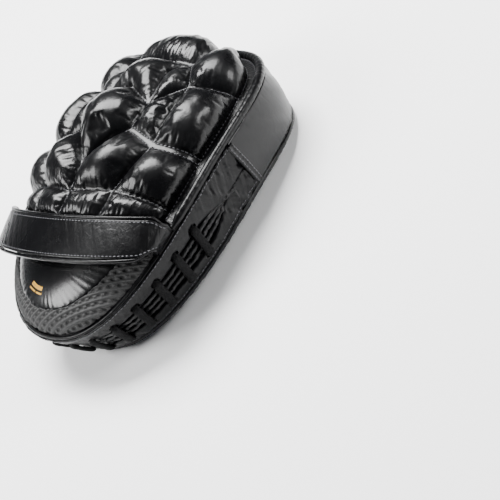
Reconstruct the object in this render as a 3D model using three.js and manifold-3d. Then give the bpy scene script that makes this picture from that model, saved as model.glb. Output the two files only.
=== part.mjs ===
// Focus mitt for boxing and martial arts, lying on its striking face.
// Millimetres, +Z up (the back of the hand), +Y toward the fingertips.
// The mitt is laid out flat, then every vertex is bent with its curved face.
import * as THREE from 'three';
import { mergeVertices } from 'three/addons/utils/BufferGeometryUtils.js';
import Module from 'manifold-3d';

// ---- sizes of the mitt --------------------------------------------------
const HALF_WIDTH = 92;          // widest half of the mitt, mid wall
const FINGER_REACH = 103;       // layout centre to the fingertip end
const WRIST_REACH = 124;        // layout centre to the wrist end
const FINGER_POWER = 3.1;       // superellipse exponents of the two ends
const WRIST_POWER = 2.25;
const ARCH_RISE = 15;           // the face is curved: middle above the ends
const ARCH_REACH = 115;
const BEND_RADIUS = (ARCH_REACH * ARCH_REACH) / (2 * ARCH_RISE);
const BEND_MID_Y = -10.5;       // highest line of the arch, between the two ends
const SEGMENTS = 44;            // facets around a closed outline

// ---- wall ----------------------------------------------------------------
const WALL_BOTTOM = 8.2, WALL_TOP = 44;
const LEATHER = 1.8;            // wall leather
const SEAM_Y = 15;              // side seams between fingertip and wrist gusset
const FACE_LIP_TOP = 16, BACK_LIP_BOTTOM = 31.4;
const RIB_COUNT = 3, RIB_HEIGHT = 4.2, RIB_GAP = 0.6;
const LACE_CROSSINGS = 14, LACE_PITCH = 20, LACE_SLANT = 5;
const LACE_WIDTH = 4.6, LACE_THICK = 1.2;
const EYELET_LOW_Z = 12.4, EYELET_HIGH_Z = 35.2;

// ---- striking face -------------------------------------------------------
const TARGET_Y = 8, TARGET_RADIUS = 47, RING_RADIUS = 56;
const FACE_RIM_Z = 6.2, DISC_LIFT = 5.4, FACE_THICK = 1.6;

// ---- back of hand shell --------------------------------------------------
const SHELL_BASE_Z = 47, SHELL_CREST = 31, SHELL_END_Y = 88;
const HEM_Y = -43, HEM_LEAN = 15;
const LINING_THICK = 2.4;
const WELT_RADIUS = 3.2, PIPING_RADIUS = 2.1;

// ---- palm dome and strap -------------------------------------------------
const DOME_HEIGHT = 17.5, DOME_CENTRE_Y = -84, DOME_FRONT_Y = -40;
const STRAP_BASE_Y = -57, STRAP_LEAN = 14, STRAP_WIDTH = 27;
const STRAP_HALF_SPAN = 84, STRAP_RISE = 25, STRAP_BASE_Z = 53, STRAP_PEAK = 1.12;

const { min, max, abs, sin, cos, pow, hypot, PI, sign } = Math;
const clamp = (v, lo, hi) => min(hi, max(lo, v));
const mix = (a, b, t) => a + (b - a) * t;
const smooth = (lo, hi, v) => {
  const t = clamp((v - lo) / (hi - lo), 0, 1);
  return t * t * (3 - 2 * t);
};

const MATERIALS = {
  leather: new THREE.MeshStandardMaterial({ color: 0x1b1b1d, roughness: 0.35 }),
  lining: new THREE.MeshStandardMaterial({ color: 0x2a2a2c, roughness: 0.9 }),
  foam: new THREE.MeshStandardMaterial({ color: 0x4a4a4c, roughness: 1 }),
  board: new THREE.MeshStandardMaterial({ color: 0x303033, roughness: 0.6 }),
  mesh: new THREE.MeshStandardMaterial({ color: 0x161617, roughness: 0.95 }),
  lace: new THREE.MeshStandardMaterial({ color: 0x101011, roughness: 0.9 }),
};

// ---- plan outline, walked by arc length ----------------------------------
/** Point of the plan superellipse at parameter angle t. */
function outlineAngle(t) {
  const c = cos(t), s = sin(t);
  const power = s > 0 ? FINGER_POWER : WRIST_POWER;
  const reach = s > 0 ? FINGER_REACH : WRIST_REACH;
  return [HALF_WIDTH * sign(c) * pow(abs(c), 2 / power), reach * sign(s) * pow(abs(s), 2 / power)];
}
const FINE = 1440;
const finePoints = Array.from({ length: FINE + 1 }, (_, i) => outlineAngle((i / FINE) * 2 * PI));
const fineLength = [0];
for (let i = 1; i <= FINE; i++) {
  fineLength.push(fineLength[i - 1] + hypot(finePoints[i][0] - finePoints[i - 1][0], finePoints[i][1] - finePoints[i - 1][1]));
}
const PERIMETER = fineLength[FINE];

/** Outline point and outward normal at arc length s, counter-clockwise from +X. */
function outlineAt(s) {
  const want = ((s % PERIMETER) + PERIMETER) % PERIMETER;
  let lo = 0, hi = FINE;
  while (hi - lo > 1) {
    const mid = (lo + hi) >> 1;
    if (fineLength[mid] <= want) lo = mid; else hi = mid;
  }
  const f = (want - fineLength[lo]) / (fineLength[hi] - fineLength[lo]);
  const a = finePoints[lo], b = finePoints[hi];
  const before = finePoints[(lo - 8 + FINE) % FINE], after = finePoints[(hi + 8) % FINE];
  const tx = after[0] - before[0], ty = after[1] - before[1], tl = hypot(tx, ty);
  return { x: mix(a[0], b[0], f), y: mix(a[1], b[1], f), nx: ty / tl, ny: -tx / tl };
}

/** Arc length on the +X side where the outline passes height y. */
function lengthAtY(y) {
  let best = 0, gap = Infinity;
  for (let i = 0; i <= FINE; i++) {
    if (finePoints[i][0] <= 0) continue;
    const d = abs(finePoints[i][1] - y);
    if (d < gap) { gap = d; best = i; }
  }
  return fineLength[best] - (best > FINE / 2 ? PERIMETER : 0);
}

/** Half width of the outline at y, moved inward by inset. */
function halfWidth(y, inset) {
  const reach = (y > 0 ? FINGER_REACH : WRIST_REACH) - inset;
  const power = y > 0 ? FINGER_POWER : WRIST_POWER;
  return (HALF_WIDTH - inset) * pow(max(0, 1 - pow(min(1, abs(y) / reach), power)), 1 / power);
}

/** Outward lean of the wall: the wrist end opens toward the back. */
function wallLean(y, z) {
  const wrist = pow(clamp(-y / WRIST_REACH, 0, 1), 1.6);
  const face = mix(1.5, -1, wrist), back = mix(-1, 5, wrist);
  return mix(face, back, clamp((z - 6) / 38, -0.2, 1.2));
}

/** Layout point of the wall: arc length, outward depth, height. */
function wallPoint(s, depth, z) {
  const p = outlineAt(s);
  const n = wallLean(p.y, z) + depth;
  return [p.x + p.nx * n, p.y + p.ny * n, z];
}

/** How far inside the wall the inner layers stop; wider behind the lacing. */
function innerInset(s) {
  return mix(3, 12, smooth(18, 9, outlineAt(s).y));
}

// ---- mesh building -------------------------------------------------------
/** Merged copy of a geometry with only positions, faces turned outward. */
function closed(geometry) {
  geometry.deleteAttribute('normal');
  geometry.deleteAttribute('uv');
  const welded = mergeVertices(geometry, 1e-4);
  const point = (i) => new THREE.Vector3().fromBufferAttribute(welded.attributes.position, i);
  const kept = [];
  let volume = 0;
  for (let i = 0; i < welded.index.count; i += 3) {
    const [a, b, c] = [0, 1, 2].map((k) => welded.index.getX(i + k));
    if (a === b || b === c || c === a) continue;
    kept.push([a, b, c]);
    volume += point(a).dot(point(b).cross(point(c)));
  }
  welded.setIndex(kept.flatMap(([x, y, z]) => (volume < 0 ? [y, x, z] : [x, y, z])));
  return welded;
}

/** Straight extrusion of a section, each vertex then placed by map(u, v, step). */
function sweep(section, steps, map) {
  const shape = new THREE.Shape(section.map(([u, v]) => new THREE.Vector2(u, v)));
  const geometry = new THREE.ExtrudeGeometry(shape, { depth: steps, steps, bevelEnabled: false });
  const p = geometry.attributes.position;
  for (let i = 0; i < p.count; i++) p.setXYZ(i, ...map(p.getX(i), p.getY(i), Math.round(p.getZ(i))));
  return closed(geometry);
}

/** Turned profile, each vertex then placed by map(u, v, position around). */
function turn(profile, count, map) {
  const geometry = new THREE.LatheGeometry(profile.map(([u, v]) => new THREE.Vector2(u, v)), count);
  const p = geometry.attributes.position;
  for (let i = 0; i <= count; i++) {
    profile.forEach(([u, v], j) => p.setXYZ(i * profile.length + j, ...map(u, v, i % count)));
  }
  return closed(geometry);
}

/** Band that follows the wall; section is a list of [depth, z]. */
function band(from, to, section, step = 11) {
  if (to - from > PERIMETER - 1e-6) {
    return turn([...section, section[0]], SEGMENTS, (depth, z, i) => wallPoint((i / SEGMENTS) * PERIMETER, depth, z));
  }
  const steps = max(2, Math.round((to - from) / step));
  return sweep(section, steps, (depth, z, i) => wallPoint(mix(from, to, i / steps), depth, z));
}

/** Round section of given sides for piping. */
const roundSection = (depth, z, radius, sides = 7) => Array.from({ length: sides }, (_, i) => {
  const a = (i / sides) * 2 * PI + PI / 2;
  return [depth + radius * cos(a), z + radius * sin(a)];
});

/**
 * Disc-like body over a closed rim, made of rings listed from the rim inward.
 * A ring up to 1 is a fraction of the way from the centre to the rim, and one
 * above 1 is a circle of that radius.
 */
function plate(rim, centre, rings, top, bottom) {
  const inward = rings.map((f) => [f, 0]), outward = rings.map((f) => [f, 1]).reverse();
  return turn([[0, 1], ...outward, ...inward, [0, 0]], rim.length, (f, side, j) => {
    const dx = rim[j][0] - centre[0], dy = rim[j][1] - centre[1];
    const keep = f > 1 ? f / hypot(dx, dy) : f;
    const x = centre[0] + dx * keep, y = centre[1] + dy * keep;
    return [x, y, (side ? top : bottom)(x, y, keep)];
  });
}

/** Rim that follows the inside of the wall at height z. */
function wallRim(inset, z) {
  return Array.from({ length: SEGMENTS }, (_, i) => {
    const s = (i / SEGMENTS) * PERIMETER;
    return wallPoint(s, -(typeof inset === 'function' ? inset(s) : inset), z);
  });
}

/** Bend of the whole mitt about an axis along X below it: the middle stands high. */
function bendPoint(x, y, z) {
  const angle = (y - BEND_MID_Y) / BEND_RADIUS, radius = BEND_RADIUS + z;
  return [x, radius * sin(angle), radius * cos(angle) - BEND_RADIUS + ARCH_RISE];
}
/** Layout height at y that the bend brings to one flat level above the arch. */
const flatLevel = (y, lift) => (BEND_RADIUS + lift) / cos((y - BEND_MID_Y) / BEND_RADIUS) - BEND_RADIUS;

// ---- striking face -------------------------------------------------------
/** Outer face height in the flat layout; rho is 1 at the rim. */
function faceZ(x, y, rho) {
  const toTarget = hypot(x, y - TARGET_Y);
  const pad = FACE_RIM_Z * pow(clamp((rho - 0.72) / 0.28, 0, 1), 2.2);
  const recess = smooth(RING_RADIUS, TARGET_RADIUS, toTarget);
  return mix(pad, flatLevel(y, DISC_LIFT), recess);
}
const FACE_RINGS = [1, 0.97, 0.92, 0.85, 0.77, 61, RING_RADIUS, 53, 50, TARGET_RADIUS, 24];

// ---- shell surface -------------------------------------------------------
const hemY = (across) => HEM_Y - HEM_LEAN * pow(max(0, cos((across * PI) / 2)), 0.8);

/** Shell lining surface: across is -1..1 over the hand, y along it, h outward. */
function shellPoint(across, y, h = 0) {
  const raw = (a, v) => {
    const end = clamp((v + 30) / (SHELL_END_Y + 30), 0, 1);
    const rise = SHELL_CREST * mix(0.9, 1, smooth(-60, 20, v)) * pow(max(0, 1 - pow(end, 4)), 1 / 2.3);
    const f = (a * PI) / 2;
    const half = halfWidth(v, 14.5);
    return new THREE.Vector3(half * sign(f) * pow(abs(sin(f)), 1.3), v, SHELL_BASE_Z + rise * pow(max(0, cos(f)), 0.9));
  };
  const p = raw(across, y);
  if (!h) return p.toArray();
  const e = 0.01, a0 = clamp(across, -0.97, 0.97), y0 = min(y, SHELL_END_Y - 2);
  const du = raw(a0 + e, y0).sub(raw(a0 - e, y0));
  const dv = raw(a0, y0 + 0.5).sub(raw(a0, y0 - 0.5));
  const n = du.cross(dv).normalize();
  return p.addScaledVector(n, h).toArray();
}

// Quilting seam nodes as [across, y]; mirrored cells flip the first number.
const NODE = {
  spineLow: [0, -26], spineHigh: [0, 37], hubLow: [0.29, 4], hubHigh: [0.3, 23],
  crown: [0.38, 62], shoulder: [0.5, 42], elbow: [0.52, -4], waist: [0.42, -37],
  spineHem: [0, -42], sideHigh: [0.985, 50], sideMid: [0.985, -2], sideLow: [0.985, -38],
  brow: [0.24, 50], tip: [0.62, SHELL_END_Y - 1.5], corner: [0.985, SHELL_END_Y - 12],
  hemSpine: [0, 'hem'], hemWaist: [0.42, 'hem'], hemSide: [0.985, 'hem'],
};
const RIGHT_SCUTES = {
  crown_inner: ['hubHigh', 'shoulder', 'crown', 'brow'],
  crown_outer: ['shoulder', 'sideHigh', 'corner', 'tip', 'crown'],
  mid_inner: ['hubLow', 'elbow', 'shoulder', 'hubHigh'],
  mid_outer: ['elbow', 'sideMid', 'sideHigh', 'shoulder'],
  low_inner: ['spineHem', 'waist', 'elbow', 'hubLow', 'spineLow'],
  low_outer: ['waist', 'sideLow', 'sideMid', 'elbow'],
  hem_inner: ['hemSpine', 'hemWaist', 'waist', 'spineHem'],
  hem_outer: ['hemWaist', 'hemSide', 'sideLow', 'waist'],
};
const SPINE_SCUTES = {
  spine_mid: [['spineLow', 1], ['hubLow', 1], ['hubHigh', 1], ['spineHigh', 1], ['hubHigh', -1], ['hubLow', -1]],
  spine_high: [['spineHigh', 1], ['hubHigh', 1], ['brow', 1], ['crown', 1], ['crown', -1], ['brow', -1], ['hubHigh', -1]],
  spine_tip: [['crown', 1], ['tip', 1], ['tip', -1], ['crown', -1]],
};

/** Seam node as [across, y]; the hem leans toward the wrist at the crest. */
function seamNode(name, side) {
  const [across, y] = NODE[name];
  return [across * side, y === 'hem' ? hemY(across) + 1.2 : y];
}

/** Padded scute: flat on the lining, puffed outward, rounded to its seams. */
function scute(corners, puff) {
  const rim = [];
  corners.forEach((c, i) => {
    const d = corners[(i + 1) % corners.length];
    const steps = max(2, Math.round(hypot((d[0] - c[0]) * 75, d[1] - c[1]) / 16));
    for (let k = 0; k < steps; k++) rim.push([mix(c[0], d[0], k / steps), mix(c[1], d[1], k / steps)]);
  });
  const centre = [0, 1].map((k) => rim.reduce((sum, p) => sum + p[k], 0) / rim.length);
  const reach = ([a, y]) => hypot((a - centre[0]) * 75, y - centre[1]);
  const drawIn = (p, f) => {
    const keep = f === 1 ? 1 - 0.75 / reach(p) : f;
    return [mix(centre[0], p[0], keep), mix(centre[1], p[1], keep)];
  };
  const profile = [[0, 1.7], [0.35, 1.9], [0.7, 2.1], [1, 1.5], [1, 2.6], [0.9, 0.6 * puff], [0.68, 0.88 * puff], [0.36, puff], [0, 1.03 * puff]];
  return turn(profile, rim.length, (f, h, j) => {
    const [a, y] = drawIn(rim[j], f);
    return shellPoint(a, y, h);
  });
}

// ---- laced wrist gusset --------------------------------------------------
/** Arc length of crossing i, counted from the +X side around the wrist end. */
function crossingAt(i) {
  const bottom = lengthAtBottom();
  return bottom - (i - (LACE_CROSSINGS - 1) / 2) * LACE_PITCH - LACE_SLANT / 2;
}
function lengthAtBottom() {
  let best = 0;
  for (let i = 0; i <= FINE; i++) if (finePoints[i][1] < finePoints[best][1]) best = i;
  return fineLength[best];
}

/** One continuous flat lace whipped through the slots: a bar for each run, joined. */
function laceBody() {
  const inside = -6.6, outside = 1.15, path = [];
  for (let i = LACE_CROSSINGS - 1; i >= 0; i--) {
    const low = crossingAt(i), high = low + LACE_SLANT;
    path.push([low, inside, EYELET_LOW_Z], [low, outside, EYELET_LOW_Z]);
    path.push([mix(low, high, 0.5), outside + 0.5, mix(EYELET_LOW_Z, EYELET_HIGH_Z, 0.5)]);
    path.push([high, outside, EYELET_HIGH_Z], [high, inside, EYELET_HIGH_Z]);
  }
  const points = path.map(([s, d, z]) => new THREE.Vector3(...wallPoint(s, d, z)));
  const bars = points.slice(1).map((to, i) => {
    const run = to.clone().sub(points[i]), along = run.clone().normalize();
    const here = outlineAt(mix(path[i][0], path[i + 1][0], 0.5));
    const wide = new THREE.Vector3(-here.ny, here.nx, 0);
    wide.addScaledVector(along, -wide.dot(along)).normalize();
    const bar = new THREE.BoxGeometry(LACE_WIDTH, LACE_THICK, run.length() + LACE_THICK);
    const turned = new THREE.Matrix4().makeBasis(wide, along.clone().cross(wide), along);
    return bar.applyMatrix4(turned.setPosition(to.clone().add(points[i]).multiplyScalar(0.5)));
  });
  return join(bars);
}

/** Boxes that punch the lace slots through a lip. */
function slotCutters(offset, z) {
  return Array.from({ length: LACE_CROSSINGS }, (_, i) => {
    const s = crossingAt(i) + offset;
    const p = outlineAt(s), centre = wallPoint(s, -LEATHER / 2, z);
    const box = new THREE.BoxGeometry(LACE_WIDTH + 1.3, 6.5, LACE_THICK + 1.9);
    box.rotateZ(Math.atan2(p.nx, -p.ny) + PI);
    box.translate(...centre);
    return box;
  });
}

// ---- joining and cutting solids ---------------------------------------------------
const wasm = await Module();
wasm.setup();
function toManifold(geometry) {
  const welded = closed(geometry.clone());
  return new wasm.Manifold(new wasm.Mesh({
    numProp: 3,
    vertProperties: new Float32Array(welded.attributes.position.array),
    triVerts: new Uint32Array(welded.index.array),
  }));
}
function fromManifold(body) {
  const mesh = body.getMesh(), out = new THREE.BufferGeometry();
  out.setAttribute('position', new THREE.Float32BufferAttribute(mesh.vertProperties, 3));
  out.setIndex([...mesh.triVerts]);
  return out;
}
const subtract = (geometry, cutters) => fromManifold(
  cutters.reduce((body, cutter) => body.subtract(toManifold(cutter)), toManifold(geometry)));
const join = ([first, ...rest]) => fromManifold(
  rest.reduce((body, piece) => body.add(toManifold(piece)), toManifold(first)));

// ---- palm dome -----------------------------------------------------------
const DOME_SEGMENTS = 36;
/** Rim of the palm dome: the wrist-end wall, closed across under the shell. */
function domeRim(inset) {
  const from = lengthAtY(-52), to = -PERIMETER / 2 - from;
  const rim = [], wristCount = 24, frontCount = DOME_SEGMENTS - wristCount;
  for (let i = 0; i <= wristCount; i++) rim.push(wallPoint(mix(from, to, i / wristCount), -inset, WALL_TOP));
  const left = rim[rim.length - 1], right = rim[0];
  for (let i = 1; i < frontCount; i++) {
    const f = i / frontCount;
    rim.push([mix(left[0], right[0], f), left[1] + (DOME_FRONT_Y - left[1]) * pow(sin(PI * f), 0.8), 0]);
  }
  return rim;
}
/** Dome height above the hand panel at a fraction of the way to its rim. */
const domeRise = (f) => DOME_HEIGHT * pow(max(0, 1 - pow(f, 2.3)), 0.62);

/** Dome skin from fraction low(j) to high over the given rim columns. */
function domeSkin(rim, columns, low, high, lift, thick) {
  const steps = 5;
  const section = [
    ...Array.from({ length: steps + 1 }, (_, i) => [i, 1]),
    ...Array.from({ length: steps + 1 }, (_, i) => [steps - i, 0]),
  ];
  return sweep(section, columns - 1, (u, v, j) => {
    const f = mix(low(j), high, u / steps), h = lift + v * thick;
    const out = f * (1 + (h * pow(f, 3)) / 62);
    return [
      rim[j][0] * out,
      mix(DOME_CENTRE_Y, rim[j][1], out),
      WALL_TOP + 0.5 + domeRise(f) + h * (1 - 0.55 * pow(f, 3)),
    ];
  });
}

// ---- wrist strap ---------------------------------------------------------
/** Strap surface: around is -1..1 over the hand, along is -1..1 across it. */
function strapPoint(around, along, h) {
  const f = (around * PI) / 2;
  const rise = pow(max(0, cos(f)), 0.85);
  const taper = mix(0.62, 1, smooth(1, 0.8, abs(around)));
  const y = STRAP_BASE_Y - STRAP_LEAN * rise + along * (STRAP_WIDTH / 2) * taper;
  const span = STRAP_HALF_SPAN + h * pow(abs(sin(f)), 3);
  return [
    span * sign(f) * pow(abs(sin(f)), STRAP_PEAK),
    y,
    STRAP_BASE_Z + STRAP_RISE * rise + h * rise + along * 2.2 * rise,
  ];
}
/** Band of the strap: along is its edge range, h its inner and outer faces. */
function strapBand(alongFrom, alongTo, low, high, steps = 20) {
  const section = [[alongFrom, low], [alongTo, low], [alongTo, high], [alongFrom, high]];
  return sweep(section, steps, (along, h, i) => strapPoint(mix(-1, 1, i / steps), along, h));
}

// ---- assembly ------------------------------------------------------------
const mitt = new THREE.Group();
mitt.name = 'focus_mitt';

/** Bend a flat-layout geometry and add it as a named mesh. */
function add(name, geometry, material) {
  const p = geometry.attributes.position;
  for (let i = 0; i < p.count; i++) p.setXYZ(i, ...bendPoint(p.getX(i), p.getY(i), p.getZ(i)));
  geometry.computeVertexNormals();
  const mesh = new THREE.Mesh(geometry, material);
  mesh.name = name;
  mitt.add(mesh);
  return mesh;
}

// Padded striking face, foam, board and the hand panel, from the floor up.
const origin = [0, TARGET_Y];
const faceRim = wallRim(4.2, 6);
add('face_leather', plate(faceRim, origin, FACE_RINGS, (x, y, f) => faceZ(x, y, f) + FACE_THICK, faceZ), MATERIALS.leather);
add('face_foam', plate(faceRim, origin, FACE_RINGS.filter((f) => f < 0.95 || f > 1),
  () => 15.2, (x, y, f) => faceZ(x, y, f) + FACE_THICK + 1), MATERIALS.foam);
const layer = (name, z0, z1, inset, material, fractions = [1, 0.7, 0.35]) => add(name,
  plate(wallRim((s) => innerInset(s) + inset, (z0 + z1) / 2), origin, fractions, () => z1, () => z0), material);
layer('core_foam', 15.8, 29.2, 0, MATERIALS.foam);
layer('backing_board', 29.7, 32.7, 3, MATERIALS.board);
layer('back_foam', 33.2, 41.6, 0, MATERIALS.foam);
add('hand_panel', plate(wallRim(2.4, 43), origin, [1, 0.7, 0.35], () => 43.8, () => 42.1), MATERIALS.leather);

// Wall: plain fingertip gusset, two laced lips and the ply edges between them.
const seam = lengthAtY(SEAM_Y);
const fingerFrom = seam + 0.4, fingerTo = PERIMETER / 2 - seam - 0.4;
const wristFrom = PERIMETER / 2 - seam + 0.4, wristTo = PERIMETER + seam - 0.4;
const wallSection = (z0, z1, bulge = 0) => [[0, z0], [bulge, mix(z0, z1, 0.5)], [0, z1], [-LEATHER, z1], [bulge - LEATHER, mix(z0, z1, 0.5)], [-LEATHER, z0]];
add('fingertip_gusset', band(fingerFrom, fingerTo, wallSection(WALL_BOTTOM, WALL_TOP, 1.2)), MATERIALS.leather);
const flatSection = (z0, z1, depth = 0, thick = LEATHER) => [[depth, z0], [depth, z1], [depth - thick, z1], [depth - thick, z0]];
add('face_lip', subtract(band(wristFrom, wristTo, flatSection(WALL_BOTTOM, FACE_LIP_TOP)), slotCutters(0, EYELET_LOW_Z)), MATERIALS.leather);
add('back_lip', subtract(band(wristFrom, wristTo, flatSection(BACK_LIP_BOTTOM, WALL_TOP)), slotCutters(LACE_SLANT, EYELET_HIGH_Z)), MATERIALS.leather);
for (let i = 0; i < RIB_COUNT; i++) {
  const z = FACE_LIP_TOP + RIB_GAP + i * (RIB_HEIGHT + RIB_GAP) + 0.1;
  add(`ply_edge_${i + 1}`, band(wristFrom + 5, wristTo - 5, flatSection(z, z + RIB_HEIGHT, -0.35, 4)), MATERIALS.leather);
}
add('lace', laceBody(), MATERIALS.lace);
for (const [name, at] of [['seam_tape_right', seam], ['seam_tape_left', PERIMETER / 2 - seam]]) {
  add(name, band(at - 3, at + 3, [[1.7, 9], [2.9, 26], [1.7, 43.4], [0.5, 43.4], [1.7, 26], [0.5, 9]], 3), MATERIALS.leather);
}
add('face_welt', band(0, PERIMETER, roundSection(-1.6, 5.6, PIPING_RADIUS, 6)), MATERIALS.leather);

// Shell: welt and flange around it, lining dome, padded scutes, bound hem.
const weltFrom = lengthAtY(-37), weltTo = PERIMETER / 2 - weltFrom;
add('back_welt', band(weltFrom, weltTo, roundSection(-1.9, WALL_TOP + 0.5 + WELT_RADIUS, WELT_RADIUS, 8)), MATERIALS.leather);
add('shell_flange', band(weltFrom, weltTo, flatSection(44.5, 46.1, -5.5, 9.5)), MATERIALS.leather);
const ACROSS = 24, ALONG = 12;
const liningSection = [
  ...Array.from({ length: ACROSS + 1 }, (_, i) => [i, 1]),
  ...Array.from({ length: ACROSS + 1 }, (_, i) => [ACROSS - i, 0]),
];
add('shell_lining', sweep(liningSection, ALONG, (u, v, i) => {
  const across = (2 * u) / ACROSS - 1, f = pow(i / ALONG, 0.8);
  const y = mix(hemY(across), SHELL_END_Y, f);
  return v ? shellPoint(across, y) : shellPoint(across, y - (i === ALONG ? LINING_THICK : 0), -LINING_THICK);
}), MATERIALS.lining);
const PUFF = { spine_mid: 11.5, spine_high: 10.5, spine_tip: 9, hem_inner: 6.5, hem_outer: 6 };
for (const [name, names] of Object.entries(SPINE_SCUTES)) {
  add(`scute_${name}`, scute(names.map(([n, side]) => seamNode(n, side)), PUFF[name]), MATERIALS.leather);
}
for (const [name, names] of Object.entries(RIGHT_SCUTES)) {
  for (const [label, side] of [['right', 1], ['left', -1]]) {
    const corners = names.map((n) => seamNode(n, side));
    if (side < 0) corners.reverse();
    add(`scute_${name}_${label}`, scute(corners, PUFF[name] ?? 10.5), MATERIALS.leather);
  }
}

// Palm dome: foam, glossy grip pad on top and the open mesh around the heel.
const rim = domeRim(5);
add('palm_foam', plate(rim, [0, DOME_CENTRE_Y], [1, 0.97, 0.9, 0.75, 0.5], (x, y, f) => WALL_TOP + 0.5 + domeRise(f), () => WALL_TOP + 0.15), MATERIALS.foam);
const padEdge = (j) => mix(0.6, 0.78, pow(abs(j - 12) / 12, 2));
add('heel_mesh', domeSkin(rim, 25, (j) => padEdge(j) + 0.012, 0.985, 0.5, 1.8), MATERIALS.mesh);
const padRim = rim.map(([x, y], j) => {
  const f = j <= 24 ? padEdge(j) : 0.78;
  return [mix(0, x, f), mix(DOME_CENTRE_Y, y, f)];
});
const padReach = (x, y) => {
  let best = 1, angle = Math.atan2(y - DOME_CENTRE_Y, x), gap = Infinity;
  rim.forEach(([rx, ry], j) => {
    const d = abs(Math.atan2(sin(Math.atan2(ry - DOME_CENTRE_Y, rx) - angle), cos(Math.atan2(ry - DOME_CENTRE_Y, rx) - angle)));
    if (d < gap) { gap = d; best = hypot(rx, ry - DOME_CENTRE_Y); }
  });
  return hypot(x, y - DOME_CENTRE_Y) / best;
};
add('palm_pad', plate(padRim, [0, DOME_CENTRE_Y], [1, 0.93, 0.8, 0.6, 0.3],
  (x, y, f) => WALL_TOP + 0.5 + domeRise(padReach(x, y)) + 0.6 + 2.4 * pow(1 - f * f, 0.6),
  (x, y) => WALL_TOP + 0.5 + domeRise(padReach(x, y)) + 0.5), MATERIALS.leather);

// Wrist strap: leather band with a lining and two bound edges, sewn at its ends.
add('wrist_strap', strapBand(-0.84, 0.84, 0.2, 2.2), MATERIALS.leather);
add('strap_lining', strapBand(-0.84, 0.84, -1.8, -0.3), MATERIALS.lining);
add('strap_binding_wrist', strapBand(-1.06, -0.89, -1.9, 2.5), MATERIALS.leather);
add('strap_binding_finger', strapBand(0.89, 1.06, -1.9, 2.5), MATERIALS.leather);

// Stand the mitt on the floor, centred over its own box.
const box = new THREE.Box3().setFromObject(mitt);
const shift = new THREE.Vector3(-(box.min.x + box.max.x) / 2, -(box.min.y + box.max.y) / 2, -box.min.z);
for (const mesh of mitt.children) mesh.geometry.translate(shift.x, shift.y, shift.z);
mitt.userData.shift = shift.toArray();

export default mitt;
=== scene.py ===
"""Focus mitt for boxing: leather, quilting, lacing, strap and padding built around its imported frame.

Sizes are in millimetres in the mitt's flat layout, where the mitt is drawn before it is curved.
MittForm.frame() curves a layout point and gives its place in the frame, in metres.
"""

import logging
import math
from dataclasses import dataclass, field
from enum import Enum
from functools import cached_property
from typing import Callable, Sequence

import bmesh
import bpy
import numpy as np
from mathutils import Matrix, Vector, kdtree


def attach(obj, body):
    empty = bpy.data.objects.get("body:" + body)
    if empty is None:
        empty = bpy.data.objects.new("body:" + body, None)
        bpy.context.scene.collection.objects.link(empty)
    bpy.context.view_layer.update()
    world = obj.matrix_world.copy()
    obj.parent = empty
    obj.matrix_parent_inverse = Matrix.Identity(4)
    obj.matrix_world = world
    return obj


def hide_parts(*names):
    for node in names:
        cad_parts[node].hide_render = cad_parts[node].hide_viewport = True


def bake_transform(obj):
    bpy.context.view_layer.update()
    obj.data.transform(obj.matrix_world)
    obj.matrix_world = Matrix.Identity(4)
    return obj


log = logging.getLogger("focus_mitt")
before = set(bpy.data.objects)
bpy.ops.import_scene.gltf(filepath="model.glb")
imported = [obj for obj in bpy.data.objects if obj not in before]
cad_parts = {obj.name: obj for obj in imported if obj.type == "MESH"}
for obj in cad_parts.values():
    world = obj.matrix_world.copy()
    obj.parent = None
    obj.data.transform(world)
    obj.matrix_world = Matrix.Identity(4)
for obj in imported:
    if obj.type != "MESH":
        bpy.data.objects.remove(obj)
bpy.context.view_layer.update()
MM = 0.001
Array = np.ndarray
Place = Callable[[Array, Array], Array]


# ---- colours and nodes ---------------------------------------------------
def linear(hex_colour: str) -> tuple[float, float, float, float]:
    """Linear colour with alpha of an sRGB hex value.

    Args:
        hex_colour: six hex digits.
    Returns:
        Linear red, green, blue and an alpha of 1.
    """
    parts = [int(hex_colour[i:i + 2], 16) / 255 for i in (0, 2, 4)]
    r, g, b = [c / 12.92 if c <= 0.04045 else ((c + 0.055) / 1.055) ** 2.4 for c in parts]
    return r, g, b, 1.0


def node(tree: bpy.types.NodeTree, kind: str, settings: dict | None = None, **inputs) -> bpy.types.Node:
    """Adds a shader node with its settings and links.

    Args:
        tree: the node tree.
        kind: the node's type name.
        settings: attributes of the node itself.
        inputs: socket names, or in_0, in_1 for numbered sockets, to a value or an output socket.
    Returns:
        The new node.
    """
    made = tree.nodes.new(kind)
    for key, value in (settings or {}).items():
        setattr(made, key, value)
    for key, value in inputs.items():
        socket = made.inputs[int(key[3:])] if key.startswith("in_") else made.inputs[key.replace("_", " ")]
        if isinstance(value, bpy.types.NodeSocket):
            tree.links.new(value, socket)
        else:
            socket.default_value = value
    return made


class Tone(Enum):
    """Colours of the mitt, as sRGB hex."""
    LEATHER = "050506"
    LEATHER_WORN = "0a0a0b"
    LINING = "121214"
    # painted shade: near-black put into the holes of the spacer mesh, where shade falls
    MESH_HOLLOW = "020202"
    MESH_STRAND = "0e0e10"
    LACE = "060607"
    # painted highlight: the thread is near-black; charcoal grey stands in for the glints on its stitches
    THREAD = "3c3c40"
    FOAM = "2f2f33"
    BOARD = "3b342c"
    GOLD = "c99a3a"
    FLOOR = "fdfdfd"


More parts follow.
